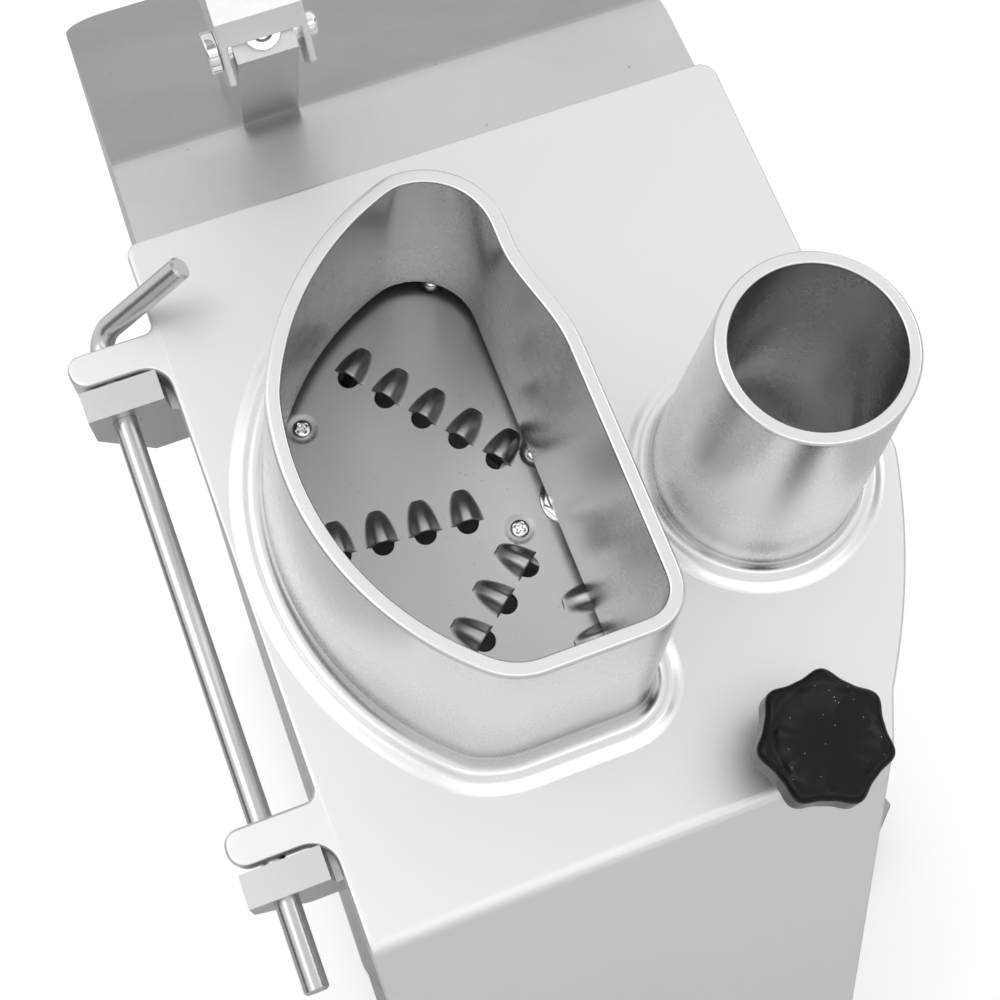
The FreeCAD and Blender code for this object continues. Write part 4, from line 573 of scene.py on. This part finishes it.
TUBE, BORE, RIM_RADIUS, FOOT_RADIUS, TUBE_RIM = (56.0, -19.5), 25.2, 29.3, 34.6, 100.0
RIDGE_FOOT, TUBE_RIDGE = 38.8, (-0.9, -0.05, 0.12, 0.5, 1.05, 1.3, 1.15, 0.95)
ROOT_WIDE, ROOT_HIGH, TUBE_EDGE_OUT, TUBE_EDGE_IN = 3.8, 4.6, 1.1, 0.8
tube_lean = (FOOT_RADIUS - RIM_RADIUS) / TUBE_RIM
root_edge, rim_edge, bore_edge = (FOOT_RADIUS - 0.3 + ROOT_WIDE, RIM_RADIUS - TUBE_EDGE_OUT,
                                  BORE + TUBE_EDGE_IN)
tube_outer = ([(RIDGE_FOOT + out, n) for n, out in zip(TUBE_RIDGE, RIDGE_OUT)]
              + [(root_edge - ROOT_WIDE * math.sin(a),
                  ROOT_RISE + ROOT_HIGH - ROOT_HIGH * math.cos(a))
                 for a in np.radians(np.linspace(18, 84, 8))]
              + [(FOOT_RADIUS - tube_lean * h, h) for h in np.linspace(7, TUBE_RIM - 1.6, 16)])
tube_rim = ([(rim_edge + TUBE_EDGE_OUT * math.cos(a),
              TUBE_RIM - TUBE_EDGE_OUT + TUBE_EDGE_OUT * math.sin(a))
             for a in np.radians(np.linspace(0, 90, 6))]
            + [(bore_edge - TUBE_EDGE_IN * math.sin(a),
                TUBE_RIM - TUBE_EDGE_IN + TUBE_EDGE_IN * math.cos(a))
               for a in np.radians(np.linspace(0, 90, 5))])
tube_inner = [(BORE, h) for h in np.linspace(TUBE_RIM - 1.6, foot_inside, 16)]
tube_under = [(BORE + FOOT_EDGE, HOPPER_FOOT), (RIM_RADIUS - FOOT_EDGE, HOPPER_FOOT),
              (RIM_RADIUS, foot_inside), (RIM_RADIUS, IN_LID), (FOOT_RADIUS + 4, UNDER_ROOT)]
tube_section = tube_outer + tube_rim + tube_inner + tube_under
tube = make_piece("round_tube", [grid(turned(tube_section, TUBE), wrap_rows=True, wrap_cols=True)],
                  "lid", [POLISHED, RIM, INSIDE_CAST_AND_SHADE],
                  marks=tagged(tube_outer, tube_rim, tube_section, 96))

# %% [markdown]
# The lid's plate is drawn flat and then bent.  Its outline is a plan with the two hinge
# lugs on the left.  Points have u across, s down the outer face and a depth; one map turns
# s into the flat top, the bend and the skirt.

# %% Lid outline and bend
LEFT, RIGHT, TOP, CREASE = -115.0, 104.0, 128.5, -121.0
BEND, BEND_RADIUS, SKIRT, THICK, LUG_THICK = math.radians(40), 9.0, 105.0, 12.0, 17.0
LUG_WIDTH, LUG_NOSE, LUGS, PLAN_STEP = 12.5, -146.0, (95, -72), 1.6
SHOULDER, BULGE, WAIST, TOE = (RIGHT, -30), (90.5, -66), (66, -107), 24
half_bend = BEND_RADIUS * math.tan(BEND / 2)
BEND_START = CREASE + half_bend
BEND_END = BEND_START - BEND_RADIUS * math.sin(BEND)
FLAT = TOP - CREASE - half_bend
ARC = BEND_RADIUS * BEND
DROP = SKIRT - half_bend


def along_skirt(distance, depth):
    """v and n on the skirt, this far from the crease point and this deep."""
    return (CREASE - distance * math.cos(BEND) + depth * math.sin(BEND),
            -distance * math.sin(BEND) - depth * math.cos(BEND))


def bend(u, s, depth):
    """Outer face by arc length: flat, arc, skirt; the inner face keeps a sharp corner."""
    turn = np.clip((s - FLAT) / BEND_RADIUS, 0, BEND)
    rest = np.clip(s - FLAT - ARC, 0, None)
    v_out = TOP - np.minimum(s, FLAT) - BEND_RADIUS * np.sin(turn) - rest * math.cos(BEND)
    n_out = -BEND_RADIUS * (1 - np.cos(turn)) - rest * math.sin(BEND)
    corner_v = CREASE + THICK * math.tan(BEND / 2)
    foot = along_skirt(SKIRT, THICK)
    share = rest / DROP
    v_in = TOP - (TOP - corner_v) * np.minimum(s / FLAT, 1) + (foot[0] - corner_v) * share
    n_in = -THICK + (foot[1] + THICK) * share
    deep = depth / THICK
    return np.stack([u, v_out + (v_in - v_out) * deep, n_out + (n_in - n_out) * deep], -1)


def flat_length(v):
    """The arc length s of a plan coordinate v, the bend's inverse."""
    turn = np.arcsin(np.clip((BEND_START - v) / BEND_RADIUS, 0, math.sin(BEND)))
    rest = np.clip((BEND_END - v) / math.cos(BEND), 0, None)
    return np.where(v > BEND_START, TOP - v, FLAT + turn * BEND_RADIUS + rest)


def lug_corners(top):
    """Plan corners of one lid lug, from its upper root round its nose to its lower root."""
    low = top - LUG_WIDTH
    return [(LEFT, top, 3), (LUG_NOSE, top, 5), (LUG_NOSE, low, 6), (LEFT, low, 9)]


toe = along_skirt(SKIRT, 0)[0]
bulge = arc_through(SHOULDER, BULGE, WAIST, 24)
plan = [(LEFT, TOP, 5)] + lug_corners(LUGS[0]) + lug_corners(LUGS[1])
plan += [(LEFT, toe, 2), (TOE, toe, 2)] + [(x, y, 0) for x, y in bulge[::-1]]
plan += [(*SHOULDER, 0), (RIGHT, TOP, 6)]
outline = resample(rounded_path(plan), PLAN_STEP)
print("lid plan", np.round(np.ptp(outline, axis=0), 1), "mm")

# %% [markdown]
# A flat face with holes comes from a constrained triangulation: the outline, the holes and
# a few lines across the bend are edges it has to keep.  The outer and inner faces share one
# triangulation, and rounded walls close the plate along the outline and round the holes.

# %% Lid plate
def ring(centre, radius, count):
    angle = np.linspace(0, 2 * math.pi, count, endpoint=False)
    return np.stack([centre[0] + radius * np.cos(angle), centre[1] + radius * np.sin(angle)], 1)


def inside(points, loop):
    """Even-odd rule for many points at once: crossings of a ray to the right."""
    x, y = points[:, :1], points[:, 1:]
    a, b = loop, np.roll(loop, -1, 0)
    rises = (a[:, 1] > y) != (b[:, 1] > y)
    cross = a[:, 0] + (y - a[:, 1]) * (b[:, 0] - a[:, 0]) / np.where(b[:, 1] == a[:, 1], 1e-9,
                                                                     b[:, 1] - a[:, 1])
    return (rises & (x < cross)).sum(1) % 2 == 1


def fill(outer, holes, lines=()):
    """Constrained triangles inside the outer loop and outside the holes."""
    points, edges = [], []
    for loop in [outer, *holes]:
        start = len(points)
        points += loop.tolist()
        edges += [(start + i, start + (i + 1) % len(loop)) for i in range(len(loop))]
    for a, b in lines:
        edges.append((len(points), len(points) + 1))
        points += [list(a), list(b)]
    made = geometry.delaunay_2d_cdt([Vector(p) for p in points], edges, [], 0, 1e-5)
    flat = np.array([v[:] for v in made[0]])
    triangles = np.array([f[:] for f in made[2]])
    middle = flat[triangles].mean(1)
    keep = inside(middle, outer)
    for hole in holes:
        keep &= ~inside(middle, hole)
    return flat, triangles[keep]


STEP_AT, STEP_WIDTH, STEP_PAST = LEFT + 2.5, 4, LEFT - 1.6     # from plate to lug
EDGE, TUBE_HOLE, STUD_HOLE, HOPPER_HOLE = 1.3, 31.5, 4.4, 2
KNOB, PIN_U, PIN_N, PIN_HOLE = (33.0, -113.0), -133.5, -8.0, 4.1


def lid_depth(u):
    """The lugs are deeper than the plate; the step is a smooth one at the lid's edge."""
    share = np.clip((STEP_AT - u) / STEP_WIDTH, 0, 1)
    return THICK + (LUG_THICK - THICK) * share * share * (3 - 2 * share)


def lid_point(loop, depth):
    u = loop[:, 0]
    return bend(u, flat_length(loop[:, 1]), depth * lid_depth(u) / THICK)


steps = np.radians(np.linspace(0, 90, 5))
throat = hopper_loop(-1)
hole_loops = [throat[::3] + outward(throat)[::3] * HOPPER_HOLE, ring(TUBE, TUBE_HOLE, 48),
              ring(KNOB, STUD_HOLE, 24)]
bend_lines = [((-160, v), (120, v)) for v in np.linspace(BEND_START, BEND_END, 9)]
bend_lines += [((STEP_AT, TOP - 6), (STEP_AT, toe + 4)), ((STEP_PAST, 96), (STEP_PAST, 80)),
               ((STEP_PAST, -70), (STEP_PAST, -88))]
normals = outward(outline)
flat, triangles = fill(outline + normals * -EDGE, hole_loops, bend_lines)
faces = triangles.tolist()
surfaces = [(lid_point(flat, 0), faces), (lid_point(flat, THICK), faces)]
rows = [lid_point(outline - normals * EDGE * (1 - math.sin(a)), EDGE * (1 - math.cos(a)))
        for a in steps]
rows += [lid_point(outline - normals * EDGE * (1 - math.cos(a)),
                   THICK - EDGE * (1 - math.sin(a))) for a in steps]
surfaces.append(grid(rows, wrap_cols=True))
for loop in hole_loops:
    surfaces.append(grid([lid_point(loop, 0), lid_point(loop, THICK)], wrap_cols=True))
lid_plate = make_piece("lid_plate", surfaces, "lid", [LID_SATIN], sharp=26)


def drill(piece, centre, radius, low, high, count=48):
    """Take a round bore along v out of a finished piece."""
    ends = [np.insert(ring(centre, radius, count), 1, v, axis=1) for v in (low, high)]
    mesh = bpy.data.meshes.new("bore")
    points, sides = grid(ends, wrap_cols=True)
    lids = [list(range(count)), list(range(count, 2 * count))]
    mesh.from_pydata(from_lid(points).tolist(), [], sides + lids)
    finish_mesh(mesh, 30)
    cutter = new_object("bore", mesh)
    cut = piece.modifiers.new("Bore", "BOOLEAN")
    cut.object, cut.operation, cut.solver = cutter, "DIFFERENCE", "EXACT"
    bpy.context.view_layer.objects.active = piece
    while piece.modifiers[0] != cut:
        bpy.ops.object.modifier_move_up(modifier=cut.name)
    bpy.ops.object.modifier_apply(modifier=cut.name)
    bpy.data.objects.remove(cutter)


drill(lid_plate, (PIN_U, PIN_N), PIN_HOLE, -160, 140)
for piece in (hopper, tube, lid_plate):
    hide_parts("lid")

# %% [markdown]
# The hinge pin is a swept circle.  Its path is a straight run, a quarter turn and a short
# leg, and the circle's frame is carried along by projecting one fixed direction.

# %% Hinge pin
PIN_RADIUS, TIP_RADIUS, PIN_BEND, PIN_BEND_AT = 4.0, 3.1, 8.0, 94.4
LEG_RISE, ASIDE = math.radians(42), [0.31, 0.17, 0.93]     # no part of the pin runs that way
STRAIGHT_AT, LEG_AT = [-126, -125.2, -60, 20, 90], [14, 28, 37.2, 38]


def sweep(path, radii, count):
    """Circles of the given radii square to the path, one row per path point."""
    path = np.asarray(path, float)
    tangent = np.gradient(path, axis=0)
    tangent /= np.linalg.norm(tangent, axis=1)[:, None]
    side = np.cross(tangent, ASIDE)
    side /= np.linalg.norm(side, axis=1)[:, None]
    other = np.cross(tangent, side)
    angle = np.linspace(0, 2 * math.pi, count, endpoint=False)[None, :, None]
    circle = side[:, None] * np.cos(angle) + other[:, None] * np.sin(angle)
    return path[:, None] + np.array(radii)[:, None, None] * circle


def closed_sweep(path, radii, count):
    rows = sweep(path, radii, count)
    return [grid(rows, wrap_cols=True), cap(rows[0]), cap(rows[-1])]


leg, up = np.array([math.cos(LEG_RISE), 0, math.sin(LEG_RISE)]), np.array([0, 1, 0])
quarter_turn = np.radians(np.linspace(0, 90, 13))[:, None]
curve = (np.array([PIN_U, PIN_BEND_AT, PIN_N])
         + PIN_BEND * (leg * (1 - np.cos(quarter_turn)) + up * np.sin(quarter_turn)))
run = np.array([PIN_U, 0, PIN_N]) + np.outer(STRAIGHT_AT, up)
pin_path = np.concatenate([run, curve, curve[-1] + np.outer(LEG_AT, leg)])
pin_radii = [TIP_RADIUS] + [PIN_RADIUS] * (len(pin_path) - 2) + [TIP_RADIUS]
pin = make_piece("bent_hinge_pin", closed_sweep(pin_path, pin_radii, 32), "hinge_rod",
                 [BAR], sharp=35)
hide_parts("hinge_pin")

# %% [markdown]
# The lock knob has seven lobes.  One outline in polar form gives the lobes, rows of smaller
# and smaller copies of it give the rounded edge and the dished top, and low ridges run out
# from the middle to the lobes.

# %% Lock knob
KNOB_TOP, KNOB_HEIGHT, KNOB_TURN, KNOB_RADIUS, LOBE_DEPTH = 30.0, 14.0, 0.31, 21.3, 2.5
LOW_EDGE, TOP_EDGE, DISH_SHARE, DISH_DEPTH, RIDGE = 1.4, 2.6, 0.86, 3.2, 0.9
round_knob = np.linspace(0, 2 * math.pi, 168, endpoint=False)
seven = np.cos(7 * round_knob)


def lobes():
    """Radius by angle: wide hollows between seven narrow lobes, from a sharpened cosine."""
    return KNOB_RADIUS - LOBE_DEPTH * (1 - (0.5 + 0.5 * seven) ** 1.6)


def knob_row(share, height, ridge=0.0):
    """One ring of the knob: its outline scaled, at a height, with ridges towards the lobes."""
    radius, turn = lobes() * share, round_knob + KNOB_TURN
    n = height + ridge * share**2 * seven
    return np.stack([KNOB[0] + radius * np.cos(turn), KNOB[1] + radius * np.sin(turn), n], -1)


def dish(share):
    """Height of the dished top, lowest in the middle."""
    return KNOB_TOP - DISH_DEPTH * (1 - (share / DISH_SHARE) ** 2.2)


low = KNOB_TOP - KNOB_HEIGHT
low_edge = [knob_row(0.9 + 0.1 * math.sin(a), low + LOW_EDGE - LOW_EDGE * math.cos(a))
            for a in np.radians(np.linspace(0, 90, 5))]
sides = [knob_row(1, h) for h in np.linspace(low + 3, KNOB_TOP - 3.6, 4)]
top_edge = [knob_row(DISH_SHARE + (1 - DISH_SHARE) * math.cos(a),
                     KNOB_TOP - TOP_EDGE + TOP_EDGE * math.sin(a), 0.25 * math.sin(a))
            for a in np.radians(np.linspace(0, 90, 8))]
top = [knob_row(share, dish(share), RIDGE) for share in np.linspace(0.8, 0.06, 14)]
knob_rows = [knob_row(0.44, low)] + low_edge + sides + top_edge + top
hub_rows = turned([(4.4, 1.0), (8.6, 1.0), (9.0, 1.4), (9.0, low + 0.5)], KNOB, 48)
knob = make_piece("seven_lobe_knob",
                  [grid(knob_rows, wrap_cols=True), cap(knob_rows[-1]), cap(knob_rows[0]),
                   grid(hub_rows, wrap_cols=True), cap(hub_rows[0]), cap(hub_rows[-1])],
                  "knob", [KNOB_BLACK], sharp=40)
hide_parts("lock_knob")

# %% [markdown]
# The shredding plate is thin sheet.  Its teeth stand in eight rows: five in every other
# row and four staggered ones between.  Each tooth is a round hole with a hood behind it,
# a bump whose height falls along its length and across its width.

# %% Shredding plate
DISC_N, SHEET_THICK, DISC_RADIUS, EYE, HOLE = -30.0, 1.5, 102.5, 10.0, 3.9
ROWS, FIRST_ROW, FIRST_TOOTH, TOOTH_PITCH = 8, 129.5, 28.5, 15
OUTER_SCREWS, INNER_SCREWS, FIRST_SCREW = 95.7, 20.3, FIRST_ROW + 14.9
DIMPLE = ((6.0, 0), (5.2, 0.12), (4.4, 0.38), (3.6, 0.5), (1.5, 0.5), (1.5, SHEET_THICK),
          (6.0, SHEET_THICK))     # radius and depth, down its hole and out under the sheet


def tooth_places():
    """Polar places of the teeth as an array of (radius, angle)."""
    return np.array([(FIRST_TOOTH + TOOTH_PITCH * (tooth + row % 2 / 2),
                      FIRST_ROW + row * 360 / ROWS)
                     for row in range(ROWS) for tooth in range(5 - row % 2)])


def turn_to(points, angle):
    """Points turned about the disc's axis by an angle in degrees."""
    a = np.radians(angle)
    x, y = points[..., 0], points[..., 1]
    return np.stack([x * np.cos(a) - y * np.sin(a), x * np.sin(a) + y * np.cos(a),
                     points[..., 2]], -1)


def level(loop, n):
    """Plan points lifted to the height n."""
    return np.column_stack([loop, np.full(len(loop), n)])


def sheet_edge(loop):
    """The thin wall round a loop, from the sheet's top to its underside."""
    return grid([level(loop, DISC_N), level(loop, DISC_N - SHEET_THICK)], wrap_cols=True)


teeth = tooth_places()
holes = [ring(polar(*place), HOLE, 28) for place in teeth]
screws = np.array([polar(OUTER_SCREWS, FIRST_SCREW + 45 * i) for i in range(8)]
                  + [polar(INNER_SCREWS, FIRST_SCREW + 48.7 + 90 * i) for i in range(4)])
disc_edge, eye = ring((0, 0), DISC_RADIUS, 180), ring((0, 0), EYE, 48)
dimples = [ring(centre, DIMPLE[0][0], 28) for centre in screws]
flat, triangles = fill(disc_edge, [eye, *holes, *dimples])
surfaces = [(level(flat, n), triangles.tolist()) for n in (DISC_N, DISC_N - SHEET_THICK)]
surfaces += [sheet_edge(loop) for loop in (disc_edge, eye, *holes)]
for centre in screws:
    surfaces.append(grid([level(centre + ring((0, 0), radius, 28), DISC_N - drop)
                          for radius, drop in DIMPLE], wrap_cols=True))
disc = make_piece("shredding_sheet", surfaces, "rotor", [SHEET], sharp=30)

# %% [markdown]
# A hood is drawn once along its own axis, for t from its mouth to its tail and a across it.
# Turning it to every tooth is one array operation, and Solidify gives it its wall.

# %% Tooth hoods
HOOD_WIDE, HOOD_LONG, HOOD_HIGH, HOOD_SUNK, HOOD_WALL = 4.9, 12.8, 3.75, 0.12, 0.7
t = np.linspace(0, 1, 15)[:, None]
a = np.linspace(-1.3, 1.3, 33)[None, :]
half_width = HOOD_WIDE * (1 - 0.42 * t**1.6)
height = HOOD_HIGH * (1 - t**2.4) ** 1.35 * np.exp(-np.abs(a / 0.80) ** 3.0)
one_hood = np.stack([a * half_width, -HOOD_LONG * t + 0 * a, DISC_N - HOOD_SUNK + height], -1)
hood_surfaces = [grid(turn_to(one_hood + [r, 0, 0], angle)) for r, angle in teeth]
hoods = make_piece("tooth_hoods", hood_surfaces, "rotor", [SHEET], sharp=60)
wall = hoods.modifiers.new("Sheet wall", "SOLIDIFY")
wall.thickness, wall.offset = HOOD_WALL / 1000, -1
for piece in (disc, hoods):
    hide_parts("shredding_plate")

# %% [markdown]
# The small screws have domed heads with a cross recess.  The recess is a dip in the
# height of the head: two short bars crossed at the middle.

# %% Disc screws
HEAD_RADIUS, HEAD_HIGH, HEAD_SUNK, HEAD_FOOT = 3.4, 1.75, 0.5, 0.6
BAR_LONG, BAR_WIDE, BAR_STEEP, CROSS_DEPTH = 1.9, 0.45, 9, 1.0


def bar(along, across):
    """One bar of the cross: 1 inside its length and width, and steeply down to 0 outside."""
    reach = np.maximum(np.abs(along) / BAR_LONG, np.abs(across) / BAR_WIDE)
    return 1 / (1 + np.exp((reach - 1) * BAR_STEEP))


rho = np.concatenate([np.linspace(0.02, 0.62, 16), np.linspace(0.66, 1, 9)])[:, None]
phi = np.linspace(0, 2 * math.pi, 72, endpoint=False)[None, :]
x, y = HEAD_RADIUS * rho * np.cos(phi), HEAD_RADIUS * rho * np.sin(phi)
dome = HEAD_HIGH * np.sqrt(np.clip(1 - 0.86 * rho**3.2, 0, 1)) - HEAD_SUNK + 0 * phi
recess = CROSS_DEPTH * np.maximum(bar(x, y), bar(y, x))
head = np.stack([x, y, DISC_N + dome - recess], -1)
foot = np.stack([x[-1], y[-1], np.full(72, DISC_N - HEAD_FOOT)], -1)[None]
surfaces = []
for i, centre in enumerate(screws):
    turned_head = turn_to(np.concatenate([head, foot]), 37.0 * i + 20) + [*centre, 0]
    surfaces += [grid(turned_head, wrap_cols=True), cap(turned_head[0]), cap(turned_head[-1])]
disc_screws = make_piece("cross_screws", surfaces, "rotor", [CHROME], sharp=38)
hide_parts("disc_screws")

# %% [markdown]
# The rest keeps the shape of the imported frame, each with its own metal, plastic or rubber
# and an edge radius that suits it.

# %% Pieces from the frame
record = frame["record"]
BODY = {name: body for body, names in record["behaviour"]["bodies"].items() for name in names}


def carry(names, material, bevel=0.4, sharp=28, segments=2):
    for name in names:
        carry_over(name, BODY[name], material, bevel, sharp, segments)


carry(["main_casting"], DECK, bevel=1.1, segments=3)
carry(["lever_arm"], LEVER, bevel=0.7, segments=3)
carry(["pusher"], PUSHER, bevel=1.5, sharp=24, segments=3)
carry(["stop_screw", "pivot_pin", "stem_screws", "rear_cover_screws", "bracket_bolts", "disc_nut"],
      CHROME, bevel=0.5)
carry(["drive_shaft", "motor_shaft", "knob_stud", "bearing_spacer"], STEEL, bevel=0.3)
carry(["upper_bearing", "lower_bearing", "motor_pulley"], STEEL, bevel=0.3)
carry(["disc_carrier", "large_pulley", "motor_front_bell", "motor_rear_bell"], INNER_CAST,
      bevel=0.8)
carry(["ejector_plate"], WHITE, bevel=0.8)
carry(["shaft_seal", "drive_belt", "front_left_foot", "front_right_foot", "rear_left_foot",
       "rear_right_foot"], RUBBER, bevel=0.5)
carry(["motor_stator", "motor_bracket"], PAINT, bevel=0.6)
carry(["base_plate", "rear_cover"], SHEET, bevel=0.35)
carry(["lever_grip"], KNOB_BLACK, bevel=0.8)
carry(["switch_panel", "switch_block", "cable_gland"], BLACK, bevel=0.7)
carry(["start_button"], GREEN, bevel=0.6)
carry(["stop_button"], RED, bevel=0.6)
carry(["run_capacitor", "terminal_block"], GREY, bevel=0.8)

# %% [markdown]
# A pale floor and a white world stand for the photographer's table.  The world is white to
# the camera and in reflections, and dimmer for the light that it gives.  Large soft lamps
# make the broad highlights on the polished castings.

# %% Floor, world and lamps
MIDDLE, GLOW = (0, -0.1, 0.25), 0.5     # where the lamps aim; how far the floor is lifted


def flat_card(name, width, height):
    """A rectangle about the origin with a material of its own."""
    mesh = bpy.data.meshes.new(name)
    x, y = width / 2, height / 2
    mesh.from_pydata([(-x, -y, 0), (x, -y, 0), (x, y, 0), (-x, y, 0)], [], [(0, 1, 2, 3)])
    made, tree, shader = new_material(name)
    mesh.materials.append(made)
    return new_object(name, mesh), tree, shader


def build_floor():
    """A pale floor that looks a little lighter to the camera than the light makes it."""
    floor, tree, shader = flat_card("floor", 8, 8)
    shader.inputs["Base Color"].default_value = (*grey(0.86), 1)
    shader.inputs["Roughness"].default_value = 0.9
    shader.inputs["Emission Color"].default_value = (1, 1, 1, 1)
    path = tree.nodes.new("ShaderNodeLightPath")
    seen = math_node(tree, "MULTIPLY", path.outputs["Is Camera Ray"], GLOW)
    link(tree, seen, shader.inputs["Emission Strength"])


def build_world(strength):
    """White to camera, glossy and transmission rays; `strength` for the light it gives."""
    world = bpy.data.worlds.new("White studio")
    bpy.context.scene.world = world
    world.use_nodes = True
    tree = world.node_tree
    sky = tree.nodes["Background"]
    path = tree.nodes.new("ShaderNodeLightPath")
    seen = math_node(tree, "ADD", path.outputs["Is Camera Ray"], path.outputs["Is Glossy Ray"])
    seen = math_node(tree, "ADD", seen, path.outputs["Is Transmission Ray"], clamp=True)
    given = math_node(tree, "ADD", math_node(tree, "MULTIPLY", seen, 1 - strength), strength)
    sky.inputs["Color"].default_value = (1, 1, 1, 1)
    link(tree, given, sky.inputs["Strength"])


def soft_lamp(name, place, size, watts):
    lamp = bpy.data.lights.new(name, "AREA")
    lamp.shape = "RECTANGLE"
    lamp.size, lamp.size_y, lamp.energy = size[0], size[1], watts
    holder = new_object(name, lamp)
    holder.location = place
    aim = Vector(MIDDLE) - Vector(place)
    holder.rotation_euler = aim.to_track_quat("-Z", "Y").to_euler()


def card(name, centre, normal, width, height, strength):
    """A grey card that only reflections see: a flat emitter, unseen by the camera."""
    holder, tree, _ = flat_card(name, width, height)
    glow = node(tree, "ShaderNodeEmission", Strength=strength)
    link(tree, glow.outputs[0], tree.nodes["Material Output"].inputs["Surface"])
    holder.location = centre
    holder.rotation_euler = Vector(normal).to_track_quat("Z", "Y").to_euler()
    holder.visible_camera = False
    holder.visible_diffuse = False
    holder.visible_shadow = False


build_floor()
build_world(0.6)
soft_lamp("key", (-1.3, -1.0, 2.3), (1.8, 1.4), 9)
soft_lamp("fill", (1.9, -0.7, 1.3), (1.0, 1.4), 5)
card("rear card", (0.3, 1.5, 1.0), (0, -1, -0.3), 2.6, 1.3, 0.5)
card("right card", (1.6, -0.3, 0.75), (-1, 0.1, -0.2), 1.6, 0.7, 0.25)
card("left card", (-1.5, -0.2, 0.35), (1, 0, 0.1), 2.2, 0.6, 0.2)
card("front low card", (0.1, -0.95, 0.02), (0, 0.2, 1), 2.4, 0.5, 0.68)
card("front bright card", (0.3, -2.3, 1.25), (0, 1, -0.45), 2.6, 0.7, 1.7)

# %% [markdown]
# The camera stands where the photographer stood, above the front left, and looks down the
# slope into the hopper.  Its place and axes were solved from the photograph's edges in the
# lid's frame.

# %% Camera
TURN = Vector((2.78553211, -0.507237608, 0.137024778))     # lid's frame to camera: axis * angle
SHIFT = np.array([24.7495557, -10.0744658, 560.317446])     # lid's zero seen from the camera
look = np.array(Matrix.Rotation(TURN.length, 3, TURN))
place = from_lid(-look.T @ SHIFT)
axes = np.stack([look[0], -look[1], -look[2]]) @ UVN
camera_data = bpy.data.cameras.new("camera")
camera_data.sensor_width, camera_data.lens = 36, 61.2
camera_data.clip_start, camera_data.clip_end = 0.01, 30
camera = new_object("camera", camera_data)
camera.matrix_world = Matrix.Translation(Vector(place)) @ Matrix(axes.T.tolist()).to_4x4()
bpy.context.scene.camera = camera
bpy.context.scene.view_settings.view_transform = "Standard"
print("camera at", np.round(place, 3))
